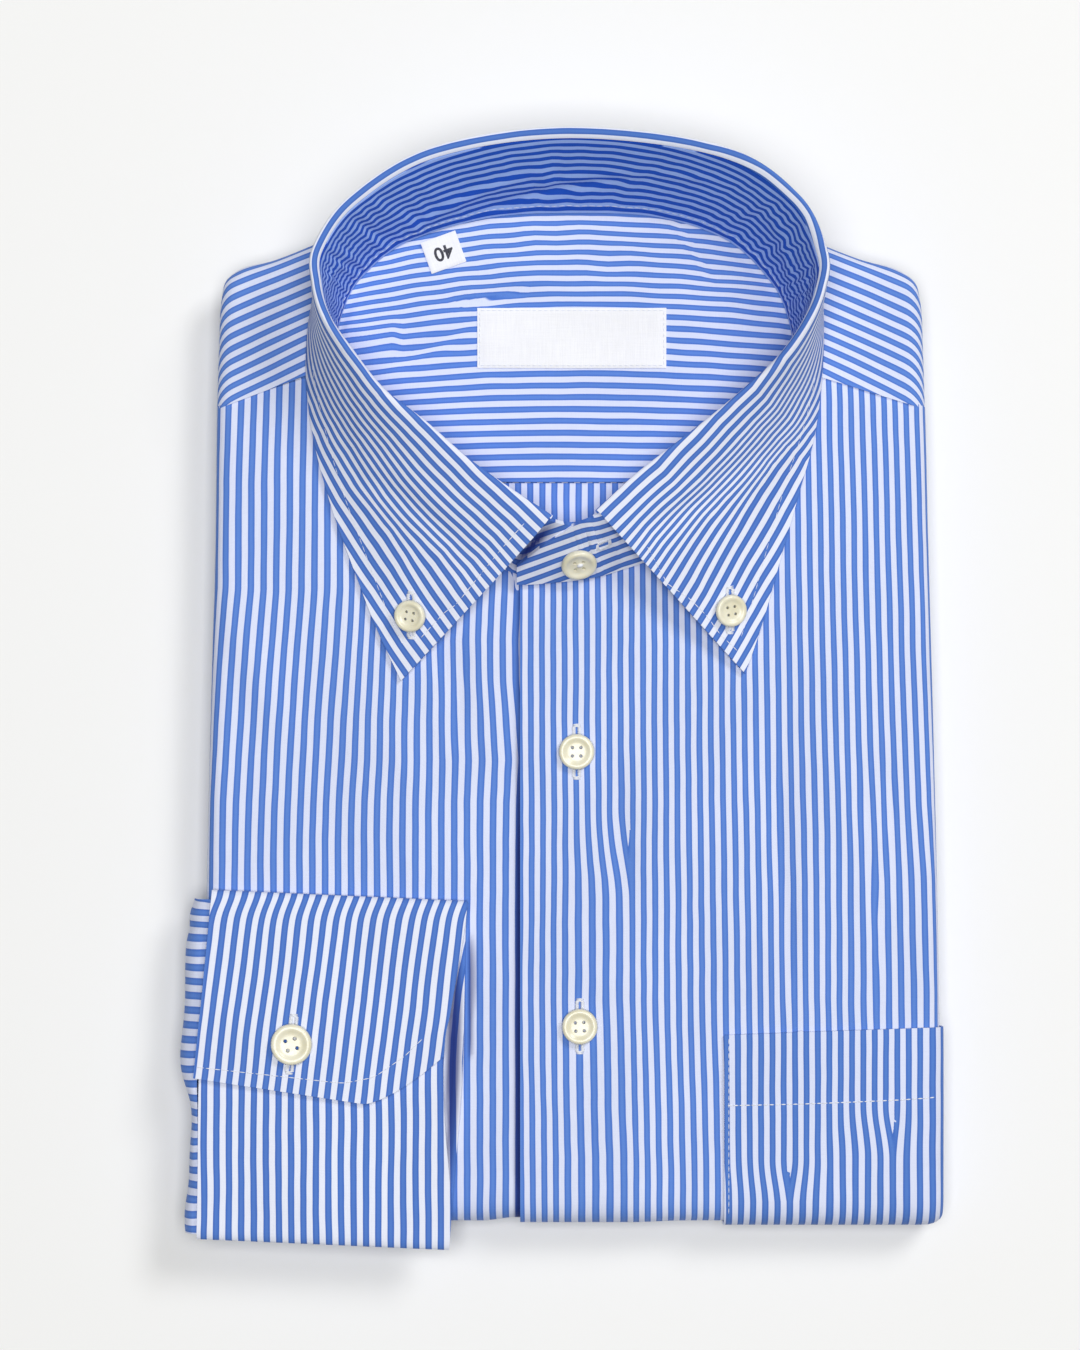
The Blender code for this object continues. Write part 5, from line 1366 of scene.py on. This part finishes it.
def cuff_surface(across, along):
    """Outer face of the cuff's loop, from the overlap's free edge round to its hidden end."""
    across, along = np.broadcast_arrays(np.asarray(across, float), np.asarray(along, float))
    y, off, left, right = np.moveaxis(CUFF.at(along), -1, 0)
    corner_start, corner_rise = CUFF_CORNER
    left_y, corner_y = CUFF_FREE_EDGE
    t = np.clip((across - corner_start) / (1 - corner_start), 0, 1)
    free_y = left_y + (corner_y - left_y) * np.minimum(across / corner_start, 1) \
        + corner_rise * t ** CUFF_CORNER_POWER
    shaped_y = free_y + (CUFF_LAYERS[1][1] - free_y) * along / CUFF_OVERLAP_END
    y = np.where(along < CUFF_OVERLAP_END, shaped_y, y)
    x = left + (right - left) * across
    return np.stack((x, y + math.tan(CUFF_TURN) * (x - CUFF_MIDDLE_X), PACK_HEIGHT + off), axis=-1)


def sleeve_surface(round_side, up):
    """Outer face of the sleeve: 0..1 between the slabs, 1..2 round the side and up to the cuff."""
    round_side, up = np.broadcast_arrays(np.asarray(round_side, float), np.asarray(up, float))
    inside_y, outside_y = (low + (high - low) * up for low, high in (SLEEVE_INSIDE, SLEEVE_OUTSIDE))
    exit_x = float(side_x(np.array(SLEEVE_EXIT_Y), -1)) - 1.0
    t = np.clip(round_side - 1, 0, 1)
    end_x = read(CUFF_LEFT_END, outside_y) + SLEEVE_TUCK
    low_z, end_z = MID_Z - SLEEVE_DROP, PACK_HEIGHT + SLEEVE_RISE
    pull_x = SLEEVE_EDGE.at(outside_y)[..., 0] * 4 / 3 - (exit_x + end_x) / 6
    x = bezier(exit_x, pull_x, pull_x, end_x, t)
    z = bezier(low_z, low_z - 0.5, end_z + 0.8, end_z, t)
    y = inside_y + (outside_y - inside_y) * ramp(t, 0.0, 0.45)
    inside = round_side <= 1
    x = np.where(inside, SLEEVE_END_X + (exit_x - SLEEVE_END_X) * round_side, x)
    return np.stack((x, np.where(inside, inside_y, y), np.where(inside, low_z, z)), axis=-1)


def make_cuff():
    """The buttoned cuff, a flattened loop that lies on the right front."""
    across = spaced(0, 1, 0.018)[None, :]
    along = graded((0, 0.20, 0.0065), (0.20, 0.30, 0.0055), (0.30, 0.60, 0.02), (0.60, 0.70, 0.0055),
                   (0.70, 1.0, 0.009))[:, None]
    points = cuff_surface(across, along)
    x, y = points[..., 0], points[..., 1]
    points[..., 2] += swell("cuff", x, y) * between(across, 0, 0.08, 0.92, 1) * (along < 0.2)
    run = run_down(points, across.size // 2)
    upper = fade(along, 0.30, 0.45)
    flare, flare_start, flare_end = CUFF_FLARE
    cloth_x = x - math.tan(CUFF_STRIPE_LEAN) * upper * (y - CUFF_LEAN_Y) \
        - flare * ramp(y, flare_start, flare_end) ** 2 * upper + swell("cuff_stripes", x, y)
    # painted shadow on the cuff's lowest layer, in the gap along its open side
    below = (along > 0.28) & (along < 0.60)
    make_cloth("cloth_cuff_right", "cuff_right", points, among_stripes(cloth_x, run, *CUFF_STRIPE),
               pair(across * np.ptp(x, axis=1).mean(), run), CUFF_WALL, "crisp", "folded",
               ["cloth_front_right"], shade=cuff_shade(x, y) * below)


def make_sleeve():
    """The end of the sleeve, out between the slabs, round the side and up into the cuff."""
    round_side = np.concatenate(((0, 0.5), 1 + spaced(0, 1, 0.045)))[None, :]
    up = spaced(0, 1, 0.012)[:, None]
    points = sleeve_surface(round_side, up)
    normals = normals_of(points)
    outward = np.sign(-normals[up.size // 2, round_side.size // 2, 0])
    ripple = between(round_side, 1.15, 1.4, 1.85, 2.0) * (
        SLEEVE_RIPPLE * np.sin(up * 26.0 + 1.5 * np.sin(5 * up))
        + SLEEVE_PUCKER * np.sin(up * 61.0) * ramp(up, 0.82, 0.98))
    points = points + normals * outward * ripple[..., None]
    run_up = points[..., 1].copy()
    run = run_across(points, up.size // 2)
    bent = run_up + 0.5 * ripple + SLEEVE_END_BEND * ramp(up, 0.88, 1.0) * run / run.max()
    make_cloth("cloth_sleeve_right", "sleeve_right", points, among_stripes(bent, run, 1.0, SLEEVE_REPEAT),
               pair(run_up, run), SLEEVE_WALL, "shirting", "folded", ["folded_layers"])


# ---------------------------------------------------------------- layers folded inside

def hidden_columns():
    """Corners of the folded layers' section: kind, side of the pack, and an angle or a depth."""
    def half(hand):
        corners = [("face", hand, share * HAIRPIN_X) for share in spaced(0.04, 0.96, 0.115)]
        corners += [("lobe", hand, degrees) for degrees in spaced(90, -90, 15.0)]
        corners += [("groove", hand, depth) for depth in (6.0, TUCK + GROOVE_DEPTH)]
        return corners + [("web", hand, depth) for depth in spaced(TUCK + WEB_DEPTH, WEB_INSIDE, 9.0)]
    return half(-1)[::-1] + half(1)


def hidden_surface(columns, along):
    """Outer face of the back and sleeves, folded in at both sides inside the fronts and the yoke."""
    fold_reach = FOLD_DEPTH - LAP_DROP - WALL - LAYER_CLEAR
    outline = np.array(YOKE_OUTLINE)
    points = np.zeros((len(along), len(columns), 3))
    for column, (kind, hand, amount) in enumerate(columns):
        end_x = hand * amount + HAIRPIN_MIDDLE_X if kind == "face" \
            else float(side_x(np.array(PACK_MIDDLE[1]), hand)) - hand * EDGE_DEPTH
        end_y = float(np.interp(end_x, outline[:, 3], outline[:, 4])) - WALL - TOP_CLEAR
        turn = np.pi * np.clip(along - 1, 0, 1)
        upper_share = np.cos(turn / 2) ** 2
        y = end_y + (FOLD_DEPTH - end_y) * along
        if kind in ("groove", "web"):
            below = WEB_END_Y + (FOLD_DEPTH - WEB_END_Y) * (along - WEB_START) / (1 - WEB_START)
            y = np.where(along > WEB_START, below, y)
        y = np.where(along > 1, FOLD_DEPTH, y)
        y = np.where(along > 2, FOLD_DEPTH + (TAIL_END - TAIL_CLEAR - FOLD_DEPTH) * (along - 2), y)
        x = end_x + 0 * y if kind == "face" else side_x(y, hand) - hand * EDGE_DEPTH
        if kind == "lobe":
            turned = math.radians(amount)
            x = x + hand * (EDGE_DEPTH - WALL - LAYER_CLEAR - LOBE_SAG) * math.cos(turned)
            off = EDGE_MIDDLE + (EDGE_HALF - WALL - LAYER_CLEAR) * math.sin(turned)
            reach = TURNED_REACH + (fold_reach - UPPER_SAG - TURNED_REACH) * (1 + math.sin(turned)) / 2
        elif kind == "face":
            upper_off = np.minimum(MID_Z - WALL - LAYER_CLEAR - UPPER_SAG,
                                   inside_z(x, y) - BACK_DROP - WALL - LAYER_CLEAR - MID_Z)
            off = upper_off * upper_share + (MID_Z - LAP_DROP - WALL - LAYER_CLEAR) * (1 - upper_share)
            reach = fold_reach
        else:
            x = x - hand * amount
            deep = kind == "web"
            off = np.where(deep & (along > WEB_START), WEB_HALF, GROOVE_HALF + WALL + LAYER_CLEAR)
            reach = WEB_REACH if deep else TURNED_REACH - 0.15
        y = y - reach * np.abs(np.sin(turn)) ** FOLD_SQUARENESS
        rise = np.sign(np.cos(turn)) * np.abs(np.cos(turn)) ** FOLD_SQUARENESS
        points[:, column] = np.stack((x, y, MID_Z + off * rise), axis=-1)
    return points


def make_folded_layers():
    """The back and the sleeves, folded inside the fronts."""
    columns = hidden_columns()
    along = graded((0, 1, 0.03), (1, 2, 0.09), (2, 3, 0.05))
    points = hidden_surface(columns, along)
    across, down = run_across(points, len(along) // 4), run_down(points, len(columns) // 2)
    make_cloth("cloth_folded_layers", "folded_layers", points, among_stripes(across, down, *HIDDEN_STRIPE),
               pair(across, down), bpy.context.scene.shirt_cloth.body_wall, "shirting", "folded", ["floor"])


# ---------------------------------------------------------------- buttons

def turned_button(name, diameter):
    """A four-hole button, drawn up from a disc step by step and drilled, with its back at the origin."""
    radius = diameter / 2
    share, height = BUTTON_PROFILE[0]
    bpy.ops.mesh.primitive_circle_add(vertices=48, radius=share * radius, fill_type="NGON")
    button = bpy.context.object
    button.name = button.data.name = name
    bpy.ops.object.mode_set(mode="EDIT")
    bpy.ops.mesh.select_all(action="SELECT")
    for next_share, above in BUTTON_PROFILE[1:]:
        bpy.ops.mesh.extrude_region_move(TRANSFORM_OT_translate={"value": (0, 0, (above - height) * MM)})
        bpy.ops.transform.resize(value=(next_share / share, next_share / share, 1))
        share, height = next_share, above
    bpy.ops.mesh.select_all(action="SELECT")
    bpy.ops.mesh.normals_make_consistent(inside=False)
    bpy.ops.object.mode_set(mode="OBJECT")
    reach = BUTTON_HOLE_REACH * diameter
    for quarter in range(4):
        angle = math.radians(45 + 90 * quarter)
        bpy.ops.mesh.primitive_cylinder_add(vertices=16, radius=BUTTON_HOLE * diameter, depth=10 * MM,
                                            location=(reach * math.cos(angle), reach * math.sin(angle), 0))
        drill = bpy.context.object
        apply_modifier(button, "BOOLEAN", operation="DIFFERENCE", solver="EXACT", object=drill)
        bpy.data.objects.remove(drill, do_unlink=True)
    apply_modifier(button, "BEVEL", width=BUTTON_BEVEL, segments=2, limit_method="ANGLE",
                   angle_limit=SMOOTH_ANGLE)
    select_only(button)
    bpy.ops.object.shade_smooth_by_angle(angle=math.radians(60))
    return button


def button_seat(node):
    """Middle of a button's back, the way that it faces, and its diameter, read from its solid."""
    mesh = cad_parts[node].data
    places = np.zeros(len(mesh.vertices) * 3)
    mesh.vertices.foreach_get("co", places)
    places = np.unique(places.reshape(-1, 3).round(6), axis=0)
    turned = places @ np.array(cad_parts[node].matrix_world.to_3x3()).T
    middle = turned.mean(axis=0)
    normal = np.linalg.svd(turned - middle)[2][2]
    if normal[2] < 0:
        normal = -normal
    depth = (turned - middle) @ normal
    rim = np.linalg.norm(turned - middle - depth[:, None] * normal, axis=1)
    return middle + normal * depth.min(), normal, 2 * rim.max()


def make_buttons():
    """A detailed button in the place of each button's solid."""
    for node, turn in BUTTONS:
        back, normal, diameter = button_seat(node)
        button = turned_button("detailed_" + node, diameter)
        run = Vector((1, 0, 0)) - Vector(normal) * normal[0]
        spin = Matrix.Rotation(math.radians(turn), 4, "Z")
        button.data.transform(Matrix.Translation(Vector(back)) @ facing_turn(run, normal) @ spin)
        button.data.materials.clear()
        button.data.materials.append(finishes()["button"])
        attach(button, "root")
        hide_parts(node)


# ---------------------------------------------------------------- thread

def plumb(cloth, x, y):
    """Where a plumb line at a place in plan meets a cloth, and the cloth's normal there."""
    found, place, normal, _ = cloth.ray_cast(Vector(to_metres((x, y, 150.0))), Vector((0, 0, -1)))
    if not found:
        raise RuntimeError(f"no cloth of {cloth.name} lies under {x:.1f}, {y:.1f}")
    return place, normal


def evenly(path, step):
    """The same line with points a step apart."""
    path = np.array(path, float)
    run = run_length(path)
    places = spaced(0, run[-1], step)
    return np.stack([np.interp(places, run, path[:, k]) for k in range(path.shape[1])], axis=-1)


def bar_of_thread(length, width, height):
    """One stitch: a rounded bar whose ends dip into the cloth."""
    bpy.ops.mesh.primitive_uv_sphere_add(segments=6, ring_count=4, radius=0.5)
    bpy.ops.object.mode_set(mode="EDIT")
    bpy.ops.mesh.select_all(action="SELECT")
    bpy.ops.transform.resize(value=(length * MM, width * MM, height * MM))
    bpy.ops.object.mode_set(mode="OBJECT")
    return bpy.context.object


def stitch_places(cloth, path, step):
    """Where the stitches of a seam lie: along a line in plan, or on the cloth nearest a line in space."""
    points = evenly(path, step)
    places = []
    for start, end in zip(points, points[1:]):
        middle = (start + end) / 2
        if len(middle) == 2:
            place, normal = plumb(cloth, *middle)
        else:
            found, place, normal, _ = cloth.closest_point_on_mesh(Vector(to_metres(middle)))
            if not found:
                raise RuntimeError(f"{cloth.name} is not near its seam")
        run = Vector((*(end - start), 0.0)[:3])
        places.append(Matrix.Translation(place + normal * STITCH_RISE * MM) @ facing_turn(run, normal))
    return places


def make_seams():
    """Rows of stitches along the seams, and the knot on the neck's button."""
    bpy.context.view_layer.update()
    lines = {"seam_leaf_edge": leaf_edge_line(6.0), "seam_stand": stand_line(0.1)}
    for name, cloth_name, step, width, height, path in SEAMS:
        stitch = bar_of_thread(step * STITCH_SHARE, width, height)
        copies(name, stitch, stitch_places(bpy.data.objects[cloth_name], path or lines[name], step))
    low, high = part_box(KNOTTED_BUTTON)
    middle = (low + high) / 2 / MM
    place, normal = plumb(bpy.data.objects["detailed_" + KNOTTED_BUTTON], middle.x + 0.3,
                          middle.y + REST_POINT_Y)
    knot = Matrix.Translation(place + normal * KNOT_RISE * MM) @ facing_turn(Vector((1.0, 0.4, 0.0)), normal)
    copies("button_knot", bar_of_thread(2.3, 1.3, 1.2), [knot])


def leaf_edge_line(inset):
    """Line inside the leaf's outer edge, right round the collar."""
    line = []
    for station in spaced(0.45, LAST_STATION - 0.45, 0.25):
        column = leaf_surface(np.array([station]), 1 + spaced(0, 1, 0.02))[:, 0]
        run = run_length(column)
        line.append([np.interp(run[-1] - inset, run, column[:, k]) for k in range(3)])
    return line


def stand_line(up):
    """Line just above the neck seam, on the inside of the stand."""
    return stand_surface(spaced(1.0, LAST_STATION - 1.0, 0.1), [up])[0]


def make_buttonholes():
    """Bars of thread along both sides of each slit, and tacks across each end."""
    bpy.context.view_layer.update()
    draw = np.random.default_rng(7)
    places = []
    for cloth_name, x, y, turn, length in BUTTONHOLES:
        cloth = bpy.data.objects[cloth_name]
        run = np.array((math.sin(math.radians(turn)), math.cos(math.radians(turn))))
        side = np.array((run[1], -run[0]))
        bars = [(step, hand * BUTTONHOLE_HALF, 1.0)
                for step in spaced(-length / 2, length / 2, BUTTONHOLE_STEP) for hand in (-1, 1)]
        bars += [(end * (length / 2 + extra), 0.0, 2.1 - 0.35 * extra)
                 for end in (-1, 1) for extra in (0.25, 0.60, 0.95)]
        for off_run, off_side, wide in bars:
            at = np.array((x, y)) + run * off_run + side * off_side
            place, normal = plumb(cloth, at[0], at[1])
            along = Vector((*(side + draw.normal(0, BUTTONHOLE_UNEVEN) * run), 0.0))
            places.append(Matrix.Translation(place + normal * BUTTONHOLE_RISE * MM)
                          @ facing_turn(along, normal) @ Matrix.Diagonal((wide, 1, 1, 1)))
    copies("buttonhole_thread", bar_of_thread(1.5, 0.40, 0.42), places)


# ---------------------------------------------------------------- labels

def label_surface(centre_x, centre_y, width, height, turn):
    """Face of a label that follows the yoke beneath it, its rim tucked down."""
    along = spaced(-0.5, 0.5, 0.6 / width)[None, :] * width
    up = spaced(-0.5, 0.5, 0.6 / height)[:, None] * height
    x = centre_x + along * math.cos(turn) - up * math.sin(turn)
    y = centre_y + along * math.sin(turn) + up * math.cos(turn)
    rim = ramp(np.maximum(np.abs(along) / width, np.abs(up) / height) * 2, 0.90, 1.0)
    z = inside_z(x, y) + inside_relief(x, y, 1.0)[0] + LABEL_RISE - LABEL_RIM_DROP * rim
    z = z + swell("label", x, y)
    return np.stack((x, y, z), axis=-1), pair(along, up)


def make_labels():
    """The bare woven label, and the size tab with its printed number."""
    for name, node, numbers in (("woven_neck_label", "neck_label", NECK_LABEL),
                                ("woven_size_tab", "size_tab", SIZE_TAB)):
        points, pattern = label_surface(*numbers)
        cloth = make_cloth(name, node, points, pattern, pattern, LABEL_THICKNESS, "label", "laid",
                           ["cloth_yoke_inner"], slot="label")
        if node == "neck_label":
            stitch_label(cloth, *numbers[:4])
    tab_x, tab_y, *_, turn = SIZE_TAB
    bpy.ops.object.text_add()
    words = bpy.context.object
    words.data.body = SIZE_WORDS
    words.data.size, words.data.offset, words.data.extrude = 6.2 * MM, 0.12 * MM, 0.04 * MM
    words.data.align_x, words.data.align_y = "CENTER", "CENTER"
    select_only(words)
    bpy.ops.object.convert(target="MESH")
    words = bpy.context.object
    words.name = words.data.name = "printed_size"
    place, normal = plumb(bpy.data.objects["woven_size_tab"], tab_x, tab_y)
    upside_down = Vector((-math.cos(turn), -math.sin(turn), 0.0))
    words.data.transform(Matrix.Translation(place + normal * 0.05 * MM) @ facing_turn(upside_down, normal))
    words.data.materials.append(finishes()["ink"])
    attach(words, "root")


def stitch_label(cloth, centre_x, centre_y, width, height):
    """The stitches that hold the label down, round its four sides."""
    bpy.context.view_layer.update()
    half_x, half_y = width / 2 - LABEL_STITCH_INSET, height / 2 - LABEL_STITCH_INSET
    corners = [(-half_x, -half_y), (half_x, -half_y), (half_x, half_y), (-half_x, half_y)]
    places = []
    for side in zip(corners, corners[1:] + corners[:1]):
        places += stitch_places(cloth, np.array(side) + np.array((centre_x, centre_y)), LABEL_STITCH_STEP)
    copies("label_stitches", bar_of_thread(1.3, 0.3, 0.2), places)


# ---------------------------------------------------------------- the stage

def make_stage():
    """Floor, two softboxes, a dim room that looks white from the camera, and the camera."""
    scene, stage = bpy.context.scene, bpy.context.scene.shirt_stage
    bpy.ops.mesh.primitive_plane_add(size=6.0, location=(0, 0, 0))
    floor = bpy.context.object
    floor.name = floor.data.name = "floor"
    floor.data.materials.append(floor_material(stage.floor_colour))
    for name, place, power, width in (("softbox_upper_right", (1.5, 1.5, 2.4), stage.key_power, 1.0),
                                      ("softbox_overhead", (0.0, 0.0, 3.2), stage.fill_power, 1.5)):
        light = bpy.data.lights.new(name, "AREA")
        light.shape = "RECTANGLE"
        light.energy, light.size, light.size_y = power, width, width
        lamp = bpy.data.objects.new(name, light)
        lamp.location = place
        lamp.rotation_euler = (Vector((0.0, 0.0, 0.0)) - Vector(place)).to_track_quat("-Z", "Y").to_euler()
        scene.collection.objects.link(lamp)
    scene.view_settings.view_transform = "Standard"
    world = scene.world = scene.world or bpy.data.worlds.new("studio")
    world.use_nodes = True
    wires = Wiring(world.node_tree)
    room = wires.feed(world.node_tree.nodes["Background"],
                      {"Color": ROOM_COLOUR, "Strength": stage.room_light})
    wall = wires.put("ShaderNodeBackground", (*stage.floor_colour, 1.0))
    seen = wires.put("ShaderNodeLightPath").outputs["Is Camera Ray"]
    either = wires.put("ShaderNodeMixShader", seen, room.outputs[0], wall.outputs[0])
    wires.feed(world.node_tree.nodes["World Output"], {"Surface": either.outputs[0]})

    lens = bpy.data.cameras.new("camera")
    lens.sensor_width = 36.0
    lens.lens = lens.sensor_width * stage.camera_height / stage.view_height
    lens.clip_end = 20.0
    camera = bpy.data.objects.new("camera", lens)
    camera.location = (*stage.view_centre, stage.camera_height + AIM_HEIGHT)
    camera.rotation_euler = (0.0, 0.0, 0.0)
    scene.collection.objects.link(camera)
    scene.camera = camera


# ---------------------------------------------------------------- settings that a user would change

def colour(name, description, *default):
    """Setting for a colour, given as red, green and blue."""
    return FloatVectorProperty(name=name, description=description, default=default, subtype="COLOR",
                               min=0, max=1)


def amount(name, description, default, least=0.0, **more):
    """Setting for a number that isn't below least."""
    return FloatProperty(name=name, description=description, default=default, min=least, **more)


class ShirtCloth(bpy.types.PropertyGroup):
    """The cloth of the shirt."""
    stripe_repeat: amount("Stripe repeat", "One blue and one white stripe", 0.0039, 0.001, unit="LENGTH")
    blue_share: amount("Blue share", "How much of each repeat is blue", 0.52, 0.05, max=0.95,
                       subtype="FACTOR")
    blue_middle: colour("Blue", "Middle of a blue stripe", 0.105, 0.235, 0.665)
    blue_edge: colour("Blue edge", "Edge of a blue stripe", 0.065, 0.175, 0.59)
    ground_white: colour("White", "White stripe", 0.69, 0.735, 0.925)
    crisp_white: colour("White, stiffened", "White stripe on the leaf and the cuff", 0.782, 0.815, 0.945)
    crisp_blue: colour("Blue, stiffened", "Blue stripe on the leaf and the cuff", 0.082, 0.197, 0.595)
    crisp_blue_edge: colour("Blue edge, stiffened", "Its edge", 0.051, 0.147, 0.525)
    double_blue: colour("Blue, two layers", "Blue stripe on the pocket", 0.085, 0.205, 0.60)
    double_blue_edge: colour("Blue edge, two layers", "Its edge", 0.053, 0.152, 0.53)
    # painted shadow: the colour that cloth deep between two layers is darkened to
    gap_shadow_blue: colour("Depth of a gap", "Cloth deep between two layers", 0.004, 0.016, 0.16)
    # painted shade: darker, bluer colours of the same cloth for the shaded inside of the stand
    stand_shaded_white: colour("White inside the stand", "White stripe, tinted by its neighbours", 0.35, 0.505, 0.93)
    stand_shaded_blue: colour("Blue inside the stand", "Blue stripe inside the stand", 0.012, 0.09, 0.56)
    body_wall: amount("Body cloth", "Thickness of a body panel, in millimetres", 0.7, 0.1)
    pocket_wall: amount("Pocket cloth", "Thickness of the pocket, in millimetres", 0.7, 0.1)


class ShirtTrim(bpy.types.PropertyGroup):
    """Buttons and thread."""
    button_colour: colour("Buttons", "Colour of the buttons", 0.84, 0.81, 0.66)
    thread_colour: colour("Thread", "Colour of the sewing thread", 0.85, 0.87, 0.93)


class ShirtStage(bpy.types.PropertyGroup):
    """Floor, lights and camera."""
    floor_colour: colour("Floor", "Colour of the floor", 0.88, 0.88, 0.88)
    key_power: amount("Key", "Power of the softbox at the upper right, in watts", 38.0)
    fill_power: amount("Fill", "Power of the overhead softbox, in watts", 75.0)
    room_light: amount("Room", "Strength of the light from all round", 0.09)
    camera_height: amount("Camera height", "Above the level where the view height is measured", 1.4, 0.1,
                          unit="LENGTH")
    view_height: amount("View height", "What the picture takes in, top to bottom", 0.42857, 0.05,
                        unit="LENGTH")
    view_centre: FloatVectorProperty(name="View centre", description="Place under the camera", size=2,
                                     default=(-0.0116, 0.024), subtype="XYZ", unit="LENGTH")


# ---------------------------------------------------------------- operators and panel

class SHIRT_OT_fronts(bpy.types.Operator):
    """Lay the two fronts, lapped at the placket and folded round the sides and the bottom"""
    bl_idname = "shirt.fronts"
    bl_label = "Fronts"

    def execute(self, context):
        make_fronts()
        return {"FINISHED"}


class SHIRT_OT_pocket(bpy.types.Operator):
    """Sew on the chest pocket"""
    bl_idname = "shirt.pocket"
    bl_label = "Pocket"

    def execute(self, context):
        make_pocket()
        return {"FINISHED"}


class SHIRT_OT_yokes(bpy.types.Operator):
    """Lay the outer yoke, the inner yoke and the back inside the neck"""
    bl_idname = "shirt.yokes"
    bl_label = "Yokes and back"

    def execute(self, context):
        make_outer_yoke()
        make_inside_of_neck()
        return {"FINISHED"}


class SHIRT_OT_collar(bpy.types.Operator):
    """Stand the collar's band and turn down its leaf"""
    bl_idname = "shirt.collar"
    bl_label = "Collar"

    def execute(self, context):
        make_stand()
        make_leaf()
        return {"FINISHED"}


class SHIRT_OT_sleeve_end(bpy.types.Operator):
    """Fold the cuff over the front and bring the sleeve round to it"""
    bl_idname = "shirt.sleeve_end"
    bl_label = "Cuff and sleeve end"

    def execute(self, context):
        make_cuff()
        make_sleeve()
        return {"FINISHED"}


class SHIRT_OT_folded_layers(bpy.types.Operator):
    """Fold the back and the sleeves inside"""
    bl_idname = "shirt.folded_layers"
    bl_label = "Folded layers"

    def execute(self, context):
        make_folded_layers()
        return {"FINISHED"}


class SHIRT_OT_buttons(bpy.types.Operator):
    """Turn, drill and set the buttons"""
    bl_idname = "shirt.buttons"
    bl_label = "Buttons"

    def execute(self, context):
        make_buttons()
        return {"FINISHED"}


class SHIRT_OT_labels(bpy.types.Operator):
    """Lay the woven label and the size tab inside the neck"""
    bl_idname = "shirt.labels"
    bl_label = "Labels"

    def execute(self, context):
        make_labels()
        return {"FINISHED"}


class SHIRT_OT_thread(bpy.types.Operator):
    """Sew the seams and the buttonholes"""
    bl_idname = "shirt.thread"
    bl_label = "Thread"

    def execute(self, context):
        make_seams()
        make_buttonholes()
        return {"FINISHED"}


class SHIRT_OT_stage(bpy.types.Operator):
    """Set the floor, the lights and the camera"""
    bl_idname = "shirt.stage"
    bl_label = "Stage"

    def execute(self, context):
        make_stage()
        return {"FINISHED"}


OPERATORS = (SHIRT_OT_stage, SHIRT_OT_folded_layers, SHIRT_OT_fronts, SHIRT_OT_pocket, SHIRT_OT_yokes,
             SHIRT_OT_collar, SHIRT_OT_sleeve_end, SHIRT_OT_buttons, SHIRT_OT_labels, SHIRT_OT_thread)


class SHIRT_PT_panel(bpy.types.Panel):
    """Lists the shirt's pieces and settings."""
    bl_idname = "SHIRT_PT_panel"
    bl_label = "Folded shirt"
    bl_space_type = "VIEW_3D"
    bl_region_type = "UI"
    bl_category = "Shirt"

    def draw(self, context):
        for settings in (context.scene.shirt_cloth, context.scene.shirt_trim, context.scene.shirt_stage):
            box = self.layout.box()
            for key in settings.bl_rna.properties.keys():
                if key not in ("rna_type", "name"):
                    box.prop(settings, key)
        for operator in OPERATORS:
            self.layout.operator(operator.bl_idname)


CLASSES = (ShirtCloth, ShirtTrim, ShirtStage, *OPERATORS, SHIRT_PT_panel)


def register():
    for each in CLASSES:
        bpy.utils.register_class(each)
    bpy.types.Scene.shirt_cloth = PointerProperty(type=ShirtCloth)
    bpy.types.Scene.shirt_trim = PointerProperty(type=ShirtTrim)
    bpy.types.Scene.shirt_stage = PointerProperty(type=ShirtStage)


def unregister():
    del bpy.types.Scene.shirt_stage
    del bpy.types.Scene.shirt_trim
    del bpy.types.Scene.shirt_cloth
    for each in reversed(CLASSES):
        bpy.utils.unregister_class(each)


def main():
    register()
    bpy.ops.shirt.stage()
    bpy.ops.shirt.folded_layers()
    bpy.ops.shirt.fronts()
    bpy.ops.shirt.pocket()
    bpy.ops.shirt.yokes()
    bpy.ops.shirt.collar()
    bpy.ops.shirt.sleeve_end()
    bpy.ops.shirt.buttons()
    bpy.ops.shirt.labels()
    bpy.ops.shirt.thread()


if __name__ == "__main__":
    main()
